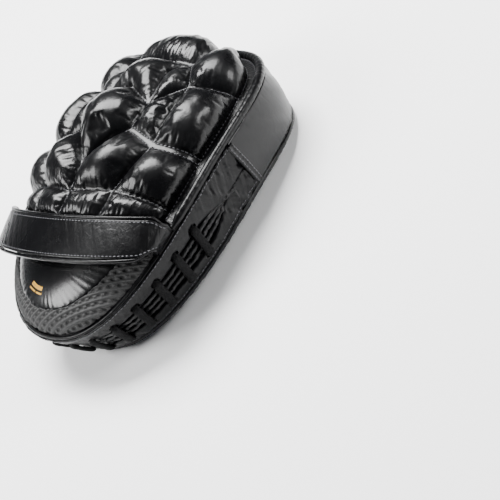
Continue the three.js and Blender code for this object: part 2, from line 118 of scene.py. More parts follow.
@dataclass(frozen=True)
class Finish:
    """A surface finish; each kind builds its own node tree once."""
    name: str

    def material(self) -> bpy.types.Material:
        """The finish's material, made on first use."""
        found = bpy.data.materials.get(self.name)
        if found:
            return found
        made = bpy.data.materials.new(self.name)
        made.use_nodes = True
        tree = made.node_tree
        tree.nodes.clear()
        shader = node(tree, "ShaderNodeBsdfPrincipled")
        out = node(tree, "ShaderNodeOutputMaterial")
        tree.links.new(shader.outputs["BSDF"], out.inputs["Surface"])
        self.build(tree, shader)
        return made

    def build(self, tree: bpy.types.NodeTree, shader: bpy.types.Node) -> None:
        """Links the finish's patterns to the shader."""
        raise NotImplementedError

    def wear(self, piece: bpy.types.Object) -> bpy.types.Object:
        """Puts the finish on a piece."""
        piece.data.materials.clear()
        piece.data.materials.append(self.material())
        return piece


@dataclass(frozen=True)
class GlossLeather(Finish):
    """Full-grain cowhide with a polyurethane gloss top coat: dark, sharp highlights, faint pores and creases."""
    roughness: float = 0.27
    crease: float = 0.35
    crease_mm: float = 9.0
    pore_mm: float = 1.1
    coat: float = 0.35
    gloss: float = 0.4

    def build(self, tree: bpy.types.NodeTree, shader: bpy.types.Node) -> None:
        """Pores, soft creases, and a top coat that is duller where it has been handled."""
        place = node(tree, "ShaderNodeTexCoord").outputs["Object"]
        handled = node(tree, "ShaderNodeTexNoise", Vector=place, Scale=1 / (34 * MM), Detail=4.0)
        worn = node(tree, "ShaderNodeMapRange", Value=handled.outputs["Fac"], From_Min=0.45, From_Max=0.75)
        tint = node(tree, "ShaderNodeMix", {"data_type": "RGBA"}, in_0=worn.outputs["Result"],
                    in_6=linear(Tone.LEATHER.value), in_7=linear(Tone.LEATHER_WORN.value))
        tree.links.new(tint.outputs[2], shader.inputs["Base Color"])
        dull = node(tree, "ShaderNodeMapRange", Value=handled.outputs["Fac"], From_Min=0.3, From_Max=0.8,
                    To_Min=self.roughness - 0.05, To_Max=self.roughness + 0.12)
        tree.links.new(dull.outputs["Result"], shader.inputs["Roughness"])
        pores = node(tree, "ShaderNodeTexVoronoi", {"feature": "SMOOTH_F1"}, Vector=place,
                     Scale=1 / (self.pore_mm * MM))
        folds = node(tree, "ShaderNodeTexNoise", Vector=place, Scale=1 / (self.crease_mm * MM), Detail=7.0,
                     Roughness=0.62, Distortion=0.8)
        fine = node(tree, "ShaderNodeBump", Strength=0.10, Distance=0.12 * MM, Height=pores.outputs["Distance"])
        soft = node(tree, "ShaderNodeBump", Strength=self.crease, Distance=0.9 * MM,
                    Height=folds.outputs["Fac"], Normal=fine.outputs["Normal"])
        tree.links.new(soft.outputs["Normal"], shader.inputs["Normal"])
        shader.inputs["IOR"].default_value = 1.5
        shader.inputs["Specular IOR Level"].default_value = self.gloss
        shader.inputs["Coat Weight"].default_value = self.coat
        shader.inputs["Coat Roughness"].default_value = 0.13


@dataclass(frozen=True)
class Cloth(Finish):
    """Knitted polyester lining: matt, dark, a 1.2 mm rib and a little fuzz."""
    tone: Tone = Tone.LINING
    rib_mm: float = 1.2

    def build(self, tree: bpy.types.NodeTree, shader: bpy.types.Node) -> None:
        """Two crossing ribs for the knit, broken by noise."""
        place = node(tree, "ShaderNodeTexCoord").outputs["Object"]
        shader.inputs["Base Color"].default_value = linear(self.tone.value)
        rib = node(tree, "ShaderNodeTexWave", {"bands_direction": "X"}, Vector=place,
                   Scale=1 / (self.rib_mm * MM) / 20 * math.pi, Distortion=1.5)
        course = node(tree, "ShaderNodeTexWave", {"bands_direction": "Y"}, Vector=place,
                      Scale=1 / (self.rib_mm * MM) / 20 * math.pi, Distortion=1.5)
        knit = node(tree, "ShaderNodeMath", {"operation": "MULTIPLY"}, in_0=rib.outputs["Fac"],
                    in_1=course.outputs["Fac"])
        relief = node(tree, "ShaderNodeBump", Strength=0.5, Distance=0.4 * MM, Height=knit.outputs["Value"])
        tree.links.new(relief.outputs["Normal"], shader.inputs["Normal"])
        shader.inputs["Roughness"].default_value = 0.92
        shader.inputs["Sheen Weight"].default_value = 0.15


@dataclass(frozen=True)
class SpacerMesh(Finish):
    """Warp-knit polyester spacer mesh: matt thread, darkened in the holes by painted shade driven by the piece's own
    knit attribute.
    """

    def build(self, tree: bpy.types.NodeTree, shader: bpy.types.Node) -> None:
        """Tone by the height of the knit: painted shade down in the holes, the strands' own dark tone on top, with
        filament noise.
        """
        height = node(tree, "ShaderNodeAttribute", {"attribute_name": "knit"})
        tint = node(tree, "ShaderNodeMix", {"data_type": "RGBA"}, in_0=height.outputs["Fac"],
                    in_6=linear(Tone.MESH_HOLLOW.value), in_7=linear(Tone.MESH_STRAND.value))
        tree.links.new(tint.outputs[2], shader.inputs["Base Color"])
        place = node(tree, "ShaderNodeTexCoord").outputs["Object"]
        thread = node(tree, "ShaderNodeTexNoise", Vector=place, Scale=1 / (0.7 * MM), Detail=3.0)
        relief = node(tree, "ShaderNodeBump", Strength=0.6, Distance=0.3 * MM, Height=thread.outputs["Fac"])
        tree.links.new(relief.outputs["Normal"], shader.inputs["Normal"])
        shader.inputs["Roughness"].default_value = 0.65
        shader.inputs["Specular IOR Level"].default_value = 0.2


@dataclass(frozen=True)
class WovenLace(Finish):
    """Flat waxed polyester lace: a 0.9 mm braid, nearly matt."""
    braid_mm: float = 0.9

    def build(self, tree: bpy.types.NodeTree, shader: bpy.types.Node) -> None:
        """A cell pattern and fine fuzz noise, as bump, for the braid."""
        place = node(tree, "ShaderNodeTexCoord").outputs["Object"]
        strand = node(tree, "ShaderNodeTexVoronoi", {"feature": "F1"}, Vector=place,
                      Scale=1 / (self.braid_mm * MM))
        fuzz = node(tree, "ShaderNodeTexNoise", Vector=place, Scale=1 / (0.35 * MM), Detail=2.0)
        mixed = node(tree, "ShaderNodeMath", {"operation": "ADD"}, in_0=strand.outputs["Distance"],
                     in_1=fuzz.outputs["Fac"])
        relief = node(tree, "ShaderNodeBump", Strength=0.7, Distance=0.35 * MM, Height=mixed.outputs["Value"])
        tree.links.new(relief.outputs["Normal"], shader.inputs["Normal"])
        shader.inputs["Base Color"].default_value = linear(Tone.LACE.value)
        shader.inputs["Roughness"].default_value = 0.8
        shader.inputs["Specular IOR Level"].default_value = 0.15


@dataclass(frozen=True)
class Plain(Finish):
    """Simple solid finishes with a fine grain: thread (lifted to grey as a painted highlight), foam, board, foil and
    floor.
    """
    tone: Tone
    roughness: float = 0.8
    metallic: float = 0.0
    grain_mm: float = 1.5
    relief: float = 0.2

    def build(self, tree: bpy.types.NodeTree, shader: bpy.types.Node) -> None:
        """A fine cell or fibre grain under one colour."""
        place = node(tree, "ShaderNodeTexCoord").outputs["Object"]
        grain = node(tree, "ShaderNodeTexNoise", Vector=place, Scale=1 / (self.grain_mm * MM), Detail=3.0)
        relief = node(tree, "ShaderNodeBump", Strength=self.relief, Distance=0.2 * MM,
                      Height=grain.outputs["Fac"])
        tree.links.new(relief.outputs["Normal"], shader.inputs["Normal"])
        shader.inputs["Base Color"].default_value = linear(self.tone.value)
        shader.inputs["Roughness"].default_value = self.roughness
        shader.inputs["Metallic"].default_value = self.metallic


QUILT_LEATHER = GlossLeather("quilted_cover_leather", roughness=0.27, crease=0.4, crease_mm=11.0, coat=0.1, gloss=0.2)
WALL_LEATHER = GlossLeather("wall_leather", roughness=0.30, crease=0.55, crease_mm=7.0, coat=0.05, gloss=0.13)
FACE_LEATHER = GlossLeather("face_leather_smooth", roughness=0.32, crease=0.22, crease_mm=14.0, coat=0.08, gloss=0.2)
STRAP_LEATHER = GlossLeather("strap_leather", roughness=0.28, crease=0.4, crease_mm=6.0, coat=0.06, gloss=0.15)
PAD_LEATHER = GlossLeather("palm_pad_leather", roughness=0.22, crease=0.20, coat=0.2, gloss=0.3)
EDGE_LEATHER = GlossLeather("cut_leather_edge", roughness=0.34, crease=0.6, crease_mm=3.0, coat=0.08, gloss=0.2)
LINING = Cloth("knit_lining")
HEEL_MESH = SpacerMesh("spacer_mesh")
LACE = WovenLace("waxed_lace")
# stitch thread drawn charcoal grey over its real near-black: a painted highlight
THREAD = Plain("bonded_thread_painted_glint", Tone.THREAD, roughness=0.38, grain_mm=0.4)
FOAM = Plain("closed_cell_foam", Tone.FOAM, roughness=0.95, grain_mm=1.6, relief=0.5)
BOARD = Plain("fibre_board", Tone.BOARD, roughness=0.85, grain_mm=0.8)
GOLD = Plain("gold_foil_print", Tone.GOLD, roughness=0.38, metallic=0.7, grain_mm=0.8)
FLOOR = Plain("studio_floor", Tone.FLOOR, roughness=0.9, grain_mm=40.0, relief=0.0)


# ---- form of the mitt ----------------------------------------------------
def smooth(low: float, high: float, value: Array) -> Array:
    """Smooth step from 0 at low to 1 at high."""
    t = np.clip((value - low) / (high - low), 0, 1)
    return t * t * (3 - 2 * t)


def ripple(x: Array, seed: int, octaves: int = 4) -> Array:
    """Repeatable one-dimensional noise.

    Args:
        x: place along the line, in wavelengths.
        seed: number that picks the pattern.
        octaves: how many sines are added.
    Returns:
        Values of about -1 to 1.
    """
    rng = np.random.default_rng(seed)
    total = np.zeros_like(np.asarray(x, float))
    for k in range(octaves):
        rate, phase = 1 + 0.83 * k + rng.uniform(-0.2, 0.2), rng.uniform(0, math.tau)
        total += np.sin(math.tau * x * rate + phase) / (1 + 0.6 * k)
    return total / 1.9


def run_length(points: Array) -> Array:
    """Distance along a line of points, from its first."""
    return np.concatenate([[0], np.cumsum(np.linalg.norm(np.diff(points, axis=0), axis=1))])


def closing_ends(u: Array) -> Array:
    """Fades a pattern out where a closed sheet's two ends meet, at u of 0 and 1."""
    return smooth(0, 0.02, u) * (1 - smooth(0.98, 1, u))


@dataclass(frozen=True)
class MittForm:
    """The flat layout that every part of the mitt is drawn on, in millimetres."""
    half_width: float = 92.0
    finger_reach: float = 103.0
    wrist_reach: float = 124.0
    finger_power: float = 3.1
    wrist_power: float = 2.25
    arch_rise: float = 15.0
    arch_reach: float = 115.0
    arch_mid_y: float = -10.5
    seam_y: float = 15.0
    wall_top: float = 44.0
    shell_base_z: float = 47.0
    shell_crest: float = 31.0
    shell_end_y: float = 88.0
    hem_y: float = -43.0
    hem_lean: float = 15.0
    shift: tuple[float, float, float] = (0.020, 2.119, -3.838)

    @cached_property
    def arch_radius(self) -> float:
        """Radius of the curved face."""
        return self.arch_reach ** 2 / (2 * self.arch_rise)

    @cached_property
    def table(self) -> tuple[Array, Array, Array, Array, Array]:
        """Arc length, x, y and outward normal around the outline, from +X."""
        t = np.linspace(0, math.tau, 2881)
        c, s = np.cos(t), np.sin(t)
        power = np.where(s > 0, self.finger_power, self.wrist_power)
        reach = np.where(s > 0, self.finger_reach, self.wrist_reach)
        x = self.half_width * np.sign(c) * np.abs(c) ** (2 / power)
        y = reach * np.sign(s) * np.abs(s) ** (2 / power)
        length = np.concatenate([[0], np.cumsum(np.hypot(np.diff(x), np.diff(y)))])
        tx = np.roll(x[:-1], -16) - np.roll(x[:-1], 16)
        ty = np.roll(y[:-1], -16) - np.roll(y[:-1], 16)
        size = np.hypot(tx, ty)
        nx, ny = np.append(ty / size, ty[0] / size[0]), np.append(-tx / size, -tx[0] / size[0])
        return length, x, y, nx, ny

    @cached_property
    def perimeter(self) -> float:
        """Length of the outline."""
        return float(self.table[0][-1])

    def outline(self, s: Array) -> tuple[Array, Array, Array, Array]:
        """x, y and outward normal at arc length s, counter-clockwise from +X."""
        length, x, y, nx, ny = self.table
        want = np.mod(s, self.perimeter)
        return tuple(np.interp(want, length, column) for column in (x, y, nx, ny))

    def length_at_y(self, y: float) -> float:
        """Arc length on the +X side where the outline passes y; below zero toward the wrist."""
        length, x, ys = self.table[:3]
        near = np.where(x > 0, np.abs(ys - y), np.inf)
        best = int(np.argmin(near))
        return float(length[best] - (self.perimeter if length[best] > self.perimeter / 2 else 0))

    @cached_property
    def wrist_middle(self) -> float:
        """Arc length at the middle of the wrist end."""
        return float(self.table[0][int(np.argmin(self.table[2]))])

    def half_at(self, y: Array, inset: float) -> Array:
        """Half width of the outline at y, moved inward by inset."""
        reach = np.where(y > 0, self.finger_reach, self.wrist_reach) - inset
        power = np.where(y > 0, self.finger_power, self.wrist_power)
        inside = np.clip(1 - np.minimum(1, np.abs(y) / reach) ** power, 0, None)
        return (self.half_width - inset) * inside ** (1 / power)

    def wall(self, s: Array, depth: Array, z: Array) -> Array:
        """Layout point of the wall: arc length, outward depth and height."""
        x, y, nx, ny = self.outline(s)
        wrist = np.clip(-y / self.wrist_reach, 0, 1) ** 1.6
        face, back = 1.5 - 2.5 * wrist, -1 + 6 * wrist
        lean = face + (back - face) * np.clip((z - 6) / 38, -0.2, 1.2)
        return np.stack(np.broadcast_arrays(x + nx * (lean + depth), y + ny * (lean + depth), z), -1)

    def hem(self, across: Array) -> Array:
        """Where the hand cover ends toward the wrist."""
        return self.hem_y - self.hem_lean * np.clip(np.cos(across * math.pi / 2), 0, None) ** 0.8

    def shell(self, across: Array, y: Array, height: Array | float = 0.0) -> Array:
        """Layout point of the hand cover: across is -1 to 1, y along the hand, height outward."""
        def raw(a: Array, v: Array) -> Array:
            end = np.clip((v + 30) / (self.shell_end_y + 30), 0, 1)
            rise = self.shell_crest * (0.9 + 0.1 * smooth(-60, 20, v)) * np.clip(1 - end ** 4, 0, None) ** (1 / 2.3)
            f = a * math.pi / 2
            x = self.half_at(v, 14.5) * np.sign(f) * np.abs(np.sin(f)) ** 1.3
            return np.stack([x, v, self.shell_base_z + rise * np.clip(np.cos(f), 0, None) ** 0.9], -1)
        point = raw(across, y)
        a0, y0 = np.clip(across, -0.97, 0.97), np.minimum(y, self.shell_end_y - 2)
        du, dv = raw(a0 + 0.01, y0) - raw(a0 - 0.01, y0), raw(a0, y0 + 0.5) - raw(a0, y0 - 0.5)
        normal = np.cross(du, dv)
        normal /= np.linalg.norm(normal, axis=-1, keepdims=True)
        return point + normal * np.asarray(height)[..., None]

    def frame(self, points: Array) -> Array:
        """Curves layout points and gives their place in the frame, in metres."""
        angle = (points[..., 1] - self.arch_mid_y) / self.arch_radius
        radius = self.arch_radius + points[..., 2]
        y, z = radius * np.sin(angle), radius * np.cos(angle) - self.arch_radius + self.arch_rise
        return (np.stack([points[..., 0], y, z], -1) + np.array(self.shift)) * MM


FORM = MittForm()


# ---- making pieces -------------------------------------------------------
class Maker:
    """Turns bmesh shapes into finished, riding pieces."""

    @staticmethod
    def finish(name: str, bm: bmesh.types.BMesh, finish: Finish, body: str, slot: str,
               replaces: Sequence[str] = (), solid_mm: float = 0.0) -> bpy.types.Object:
        """Makes the object, smooth shaded, riding on its body.

        Args:
            name: the piece's name.
            bm: its shape, in metres in the frame; it is freed.
            finish: what its surface is.
            body: the CAD body it moves with.
            slot: the record's material slot; not used.
            replaces: CAD nodes that it stands for.
            solid_mm: thickness given to an open sheet, inward.
        Returns:
            The new object.
        """
        mesh = bpy.data.meshes.new(name)
        for face in bm.faces:
            face.smooth = True
        bm.to_mesh(mesh)
        bm.free()
        piece = bpy.data.objects.new(name, mesh)
        bpy.context.scene.collection.objects.link(piece)
        if solid_mm:
            wall = piece.modifiers.new("thickness", "SOLIDIFY")
            wall.thickness, wall.offset = solid_mm * MM, -1.0
        finish.wear(piece)
        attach(piece, body)
        if replaces:
            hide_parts(*replaces)
        log.info("%s: %d faces on %s", name, len(mesh.polygons), body)
        return piece

    @staticmethod
    def sheet(columns: int, rows: int, place: Place, around: bool = False) -> bmesh.types.BMesh:
        """Grid sheet whose points are placed by a function of u and v, each 0 to 1.

        Args:
            columns: faces along u.
            rows: faces along v.
            place: gives frame points, in metres, for arrays of u and v.
            around: joins the two ends of u.
        Returns:
            The sheet, with its faces toward u cross v.
        """
        bm = bmesh.new()
        bmesh.ops.create_grid(bm, x_segments=columns, y_segments=rows, size=0.5)
        flat = np.array([v.co[:2] for v in bm.verts]) + 0.5
        for vert, point in zip(bm.verts, place(flat[:, 0], flat[:, 1])):
            vert.co = point
        if around:
            bmesh.ops.remove_doubles(bm, verts=bm.verts, dist=0.02 * MM)
        return bm

    @staticmethod
    def settle(piece: bpy.types.Object, held: Array, grow: float, cap_mm: float, pressure: float = 4.0,
               frames: int = 20) -> None:
        """Lets a padded sheet settle as slightly oversize cloth blown from inside, held along its seams.

        Args:
            piece: the sheet, before its thickness is applied.
            held: True for each point that is sewn down.
            grow: how much larger than its shape the cloth is cut.
            cap_mm: furthest that a point may move.
            pressure: pressure inside.
            frames: length of the simulation.
        """
        scene, mesh = bpy.context.scene, piece.data
        start = np.empty(len(mesh.vertices) * 3)
        mesh.vertices.foreach_get("co", start)
        start = start.reshape(-1, 3)
        pins = piece.vertex_groups.new(name="held")
        pins.add(np.flatnonzero(held).tolist(), 1.0, "REPLACE")
        others = list(piece.modifiers)
        for other in others:
            other.show_viewport = False
        cloth = piece.modifiers.new("cloth", "CLOTH")
        setting = cloth.settings
        setting.vertex_group_mass = pins.name
        setting.use_pressure, setting.uniform_pressure_force = True, pressure
        setting.shrink_min, setting.shrink_max = -grow, -grow
        setting.mass, setting.quality, setting.air_damping = 0.2, 6, 3.0
        setting.tension_stiffness = setting.compression_stiffness = setting.shear_stiffness = 18.0
        setting.bending_stiffness = 4.0
        setting.effector_weights.gravity = 0.0
        cloth.collision_settings.use_collision = False
        cloth.point_cache.frame_start, cloth.point_cache.frame_end = 1, frames
        for number in range(1, frames + 1):
            scene.frame_set(number)
        settled = piece.evaluated_get(bpy.context.evaluated_depsgraph_get()).data
        moved = np.empty(len(mesh.vertices) * 3)
        settled.vertices.foreach_get("co", moved)
        move = moved.reshape(-1, 3) - start
        reach = np.linalg.norm(move, axis=1, keepdims=True)
        cap = cap_mm * MM
        move *= cap * np.tanh(reach / cap) / np.maximum(reach, 1e-9)
        piece.modifiers.remove(cloth)
        scene.frame_set(1)
        mesh.vertices.foreach_set("co", (start + move).ravel())
        for other in others:
            other.show_viewport = True
        mesh.update()
        log.info("%s: settled, moved %.2f mm on average and %.2f mm at most", piece.name,
                 float(reach.mean()) / MM, float(reach.max()) / MM)

    @staticmethod
    def along_wall(s: Array, depth: Array | float, z: Array | float,
                   loop: bool = False) -> tuple[Array, Array, Array]:
        """A path along the wall, with the outward and the upward direction at each station."""
        path = FORM.frame(FORM.wall(s, depth, z))
        nx, ny = FORM.outline(s)[2:]
        out = np.stack([nx, ny, np.zeros_like(nx)], -1)
        run = Maker.along(path)
        if loop:
            run = np.roll(path, -1, axis=0) - np.roll(path, 1, axis=0)
            run /= np.linalg.norm(run, axis=1, keepdims=True)
        up = np.cross(out, run)
        return path, out, up * np.sign(up[:, 2:])

    @staticmethod
    def bars(name: str, place: Place, spans: Sequence[tuple[float, float, float, float]]) -> bpy.types.Object:
        """Plain printed gold bars lying on a piece.

        Args:
            name: name of the object.
            place: the surface printed on, a hair above it.
            spans: each bar's first and last u, then its first and last v.
        Returns:
            The printed mark.
        """
        bm = bmesh.new()
        for left, right, low, high in spans:
            made = bmesh.ops.create_grid(bm, x_segments=24, y_segments=5, size=0.5)["verts"]
            flat = np.array([v.co[:2] for v in made]) + 0.5
            spots = place(left + (right - left) * flat[:, 0], low + (high - low) * flat[:, 1])
            for vert, point in zip(made, spots):
                vert.co = point
        bm.normal_update()
        if sum(f.normal.z for f in bm.faces) < 0:
            bmesh.ops.reverse_faces(bm, faces=bm.faces)
        return Maker.finish(name, bm, GOLD, "mitt", "leather", solid_mm=0.1)

    @staticmethod
    def tube(path: Array, sides: Array, outs: Array, wide: Array | float, thick: Array | float,
             facets: int = 12, loop: bool = False, square: float = 1.0) -> bmesh.types.BMesh:
        """Round or flattened section carried along a path by repeated extrusion.

        Args:
            path: stations, in metres.
            sides: direction of the section's width at each station.
            outs: direction of its thickness at each station.
            wide: half width, in millimetres.
            thick: half thickness, in millimetres.
            facets: points around the section.
            loop: joins the last station to the first.
            square: below 1 makes the section squarer.
        Returns:
            The closed tube.
        """
        count = len(path)
        wide, thick = np.broadcast_to(wide, count) * MM, np.broadcast_to(thick, count) * MM
        angle = np.arange(facets) / facets * math.tau
        c, s = np.cos(angle), np.sin(angle)
        c, s = np.sign(c) * np.abs(c) ** square, np.sign(s) * np.abs(s) ** square
        bm = bmesh.new()
        ring = bmesh.ops.create_circle(bm, segments=facets, radius=1.0, cap_ends=not loop)["verts"]
        first = ring
        for i in range(count):
            if i:
                edges = [e for e in bm.edges if e.verts[0] in last and e.verts[1] in last]
                made = bmesh.ops.extrude_edge_only(bm, edges=edges)
                follow = {v for v in made["geom"] if isinstance(v, bmesh.types.BMVert)}
                ring = [next(o for o in (e.other_vert(v) for e in v.link_edges) if o in follow) for v in ring]
            for k, vert in enumerate(ring):
                vert.co = Vector(path[i] + sides[i] * wide[i] * c[k] + outs[i] * thick[i] * s[k])
            last = set(ring)
        if loop:
            ends = [[e for e in bm.edges if e.verts[0] in group and e.verts[1] in group]
                    for group in (last, set(first))]
            bmesh.ops.bridge_loops(bm, edges=ends[0] + ends[1])
        else:
            bmesh.ops.contextual_create(bm, geom=[e for e in bm.edges if e.verts[0] in last and e.verts[1] in last])
        bmesh.ops.recalc_face_normals(bm, faces=bm.faces)
        return bm

    @staticmethod
    def stitches(name: str, rows: Sequence[tuple[Array, Array]], body: str, slot: str,
                 pitch_mm: float = 3.2, length_mm: float = 2.3, width_mm: float = 0.85) -> bpy.types.Object:
        """Rows of short thread stitches, each a small rounded bar.

        Args:
            name: the piece's name.
            rows: for each row, its points and its surface normals, in metres.
            body: the CAD body it moves with.
            slot: the record's material slot; passed on to Maker.finish, which does not use it.
            pitch_mm: distance from stitch to stitch.
            length_mm: length of one stitch.
            width_mm: thickness of the thread, drawn a little stout so that it shows.
        Returns:
            The new object.
        """
        bm = bmesh.new()
        template = bmesh.new()
        bmesh.ops.create_uvsphere(template, u_segments=6, v_segments=4, radius=0.5)
        bar = bpy.data.meshes.new(name + "_bar")
        template.to_mesh(bar)
        template.free()
        scale = Matrix.Diagonal((width_mm * MM, width_mm * MM * 0.8, length_mm * MM, 1))
        for points, normals in rows:
            steps = np.linalg.norm(np.diff(points, axis=0), axis=1)
            length = np.concatenate([[0], np.cumsum(steps)])
            marks = np.arange(0.5 * pitch_mm * MM, length[-1], pitch_mm * MM)
            for mark in marks:
                ends = [Vector([np.interp(mark + d, length, points[:, k]) for k in range(3)])
                        for d in (-0.4 * pitch_mm * MM, 0.4 * pitch_mm * MM)]
                out = Vector([np.interp(mark, length, normals[:, k]) for k in range(3)]).normalized()
                along = (ends[1] - ends[0]).normalized()
                side = out.cross(along).normalized()
                turn = Matrix((side, along.cross(side), along)).transposed().to_4x4()
                known = len(bm.verts)
                bm.from_mesh(bar)
                bm.verts.ensure_lookup_table()
                bmesh.ops.transform(bm, matrix=Matrix.Translation((ends[0] + ends[1]) / 2) @ turn @ scale,
                                    verts=bm.verts[known:])
        bpy.data.meshes.remove(bar)
        return Maker.finish(name, bm, THREAD, body, slot)

    @staticmethod
    def along(points: Array) -> Array:
        """Unit direction of a path at each of its points."""
        step = np.gradient(points, axis=0)
        return step / np.linalg.norm(step, axis=1, keepdims=True)


def normals_of(place: Place, u: Array, v: Array) -> Array:
    """Unit surface normals of a placed sheet at u and v."""
    e = 1e-3
    du, dv = place(u + e, v) - place(u - e, v), place(u, v + e) - place(u, v - e)
    n = np.cross(du, dv)
    return n / np.linalg.norm(n, axis=-1, keepdims=True)


# ---- quilted hand cover --------------------------------------------------
@dataclass(frozen=True)
class Seam:
    """A sewn line between two named seam points; a wide one is a flat strip between two rows."""
    start: str
    end: str
    wide: bool = False


@dataclass
class HandCover:
    """Hand cover: one leather sheet quilted into padded cells, with its flange, welt and lining."""
    points: dict[str, tuple[float, float]] = field(default_factory=lambda: {
        "spine_low": (0, -26), "spine_high": (0, 37), "hub_low": (0.29, 4), "hub_high": (0.3, 23),
        "crown": (0.38, 62), "shoulder": (0.5, 42), "elbow": (0.52, -4), "waist": (0.42, -37),
        "spine_hem": (0, -42), "side_high": (0.985, 50), "side_mid": (0.985, -2), "side_low": (0.985, -38),
        "brow": (0.24, 50), "tip": (0.62, 86.5), "crown_far": (-0.38, 62), "hem_spine": (0, -57),
        "hem_waist": (0.42, -54)})
    seams: tuple[Seam, ...] = (
        Seam("spine_low", "hub_low"), Seam("hub_low", "hub_high"), Seam("hub_high", "spine_high"),
        Seam("hub_high", "brow"), Seam("brow", "crown"), Seam("crown", "crown_far"), Seam("crown", "tip"),
        Seam("hub_high", "shoulder"), Seam("shoulder", "crown"), Seam("shoulder", "side_high"),
        Seam("hub_low", "elbow", wide=True), Seam("elbow", "shoulder"), Seam("elbow", "side_mid", wide=True),
        Seam("elbow", "waist"), Seam("waist", "side_low"), Seam("spine_hem", "waist"),
        Seam("spine_low", "spine_hem"), Seam("hem_waist", "waist"), Seam("hem_spine", "spine_hem"))
    edge_across: float = 0.985
    measured_y: float = 20.0        # where lengths across the cover are measured
    columns: int = 236
    rows: int = 176
    sewn_height: float = 1.4        # cover over the lining along a seam
    puff: float = 0.155             # how strongly the cells swell
    dome: float = 0.72              # 0.5 gives steep balloons, 1 gives shallow tents
    strip_half: float = 2.3         # half width of a flat double-sewn strip
    leather: float = 1.1
    held: Array = field(default_factory=lambda: np.zeros((1, 1), bool), repr=False)
    welt_radius: float = 3.2
    tuck: float = 0.6               # how far the cover reaches past the hem line
    welt_end_y: float = -47.0

    def end_y(self, across: Array) -> Array:
        """Where the cover ends toward the fingertips."""
        return 86.9 - 10.6 * np.clip((np.abs(across) - 0.6) / 0.385, 0, 1) ** 1.6

    def grid_to_layout(self, u: Array, v: Array) -> tuple[Array, Array]:
        """Even places over the cover, from u and v to across and y."""
        a = np.linspace(-self.edge_across, self.edge_across, 400)
        run = run_length(FORM.shell(a, np.full_like(a, self.measured_y)))
        across = np.interp(u, run / run[-1], a)
        y = np.linspace(-64, self.end_y(np.zeros(1))[0], 400)
        rise = run_length(FORM.shell(np.zeros_like(y), y))
        low, high = (np.interp(edge, y, rise) for edge in (FORM.hem(across) - self.tuck, self.end_y(across)))
        return across, np.interp(low + (high - low) * v, rise, y)

    def to_mm(self, across: Array, y: Array) -> Array:
        """Places on the cover as millimetres over its surface."""
        a = np.linspace(-1, 1, 400)
        run = run_length(FORM.shell(a, np.full_like(a, self.measured_y)))
        v = np.linspace(-64, 87.9, 400)
        rise = run_length(FORM.shell(np.zeros_like(v), v))
        return np.stack([np.interp(across, a, run), np.interp(y, v, rise)], -1)

    def seam_lines(self) -> list[tuple[Seam, Array]]:
        """Every seam on both sides, as across and y along it."""
        lines = []
        for seam in self.seams:
            a, b = np.array(self.points[seam.start], float), np.array(self.points[seam.end], float)
            t = np.linspace(0, 1, 90)[:, None]
            line = a + (b - a) * t
            lines.append((seam, line))
            if abs(a[0]) + abs(b[0]) > 0.01 and seam.end != "crown_far":
                lines.append((seam, line * (-1, 1)))
        return lines

    def edge_lines(self) -> list[Array]:
        """The cover's four edges, as across and y along them."""
        a = np.linspace(-self.edge_across, self.edge_across, 300)
        t = np.linspace(0, 1, 200)
        low, high = FORM.hem(a) - self.tuck, self.end_y(a)
        side = low[-1] + (high[-1] - low[-1]) * t
        return [np.stack([a, low], -1), np.stack([a, high], -1),
                np.stack([np.full_like(t, self.edge_across), side], -1),
                np.stack([np.full_like(t, -self.edge_across), side], -1)]

    @cached_property
    def heights(self) -> Array:
        """Height of the cover over the lining at every grid point: swollen cells, gathers and sewn seams."""
        u, v = np.meshgrid(np.linspace(0, 1, self.columns + 1), np.linspace(0, 1, self.rows + 1))
        across, y = self.grid_to_layout(u, v)
        here = self.to_mm(across, y)
        lines = [(self.to_mm(*line.T), self.strip_half if seam.wide else 0.75, 0.22)
                 for seam, line in self.seam_lines()]
        lines += [(self.to_mm(*line.T), 0.9, 0.34) for line in self.edge_lines()]
        tree = kdtree.KDTree(sum(len(line) for line, _, _ in lines))
        facts = []
        for number, (line, half, gather) in enumerate(lines):
            for point, along in zip(line, run_length(line)):
                tree.insert((*point, 0), len(facts))
                facts.append((number, half, gather, along))
        tree.balance()
        found = [tree.find((*point, 0)) for point in here.reshape(-1, 2)]
        facts = np.array(facts)[[f[1] for f in found]].reshape(*here.shape[:2], 4)
        away = np.array([f[2] for f in found]).reshape(here.shape[:2])
        sewn = away <= facts[..., 1]
        self.held = sewn | (away < 1.1)
        swell = self.swell(~sewn, here)
        gathers = np.zeros_like(away)
        for number in range(len(lines)):
            mine = facts[..., 0] == number
            gathers[mine] = ripple(facts[mine][:, 3] / 4.6, 11 + number)
        reach = np.clip(away - facts[..., 1], 0, None)
        gathers *= facts[..., 2] * np.exp(-reach / 5.5) * smooth(0.2, 2.2, reach)
        drift = ripple(here[..., 0] / 37 + here[..., 1] / 61, 3) * ripple(here[..., 1] / 43, 5)
        fall = 1.08 - 0.34 * across ** 2
        return self.sewn_height + swell * fall * (1 + 0.06 * drift) + gathers

    def sewn_points(self, u: Array, v: Array) -> Array:
        """True at the grid points that a seam holds down."""
        edge = (u < 1e-6) | (u > 1 - 1e-6) | (v < 1e-6) | (v > 1 - 1e-6)
        i, j = np.rint(u * self.columns).astype(int), np.rint(v * self.rows).astype(int)
        return self.held[j, i] | edge

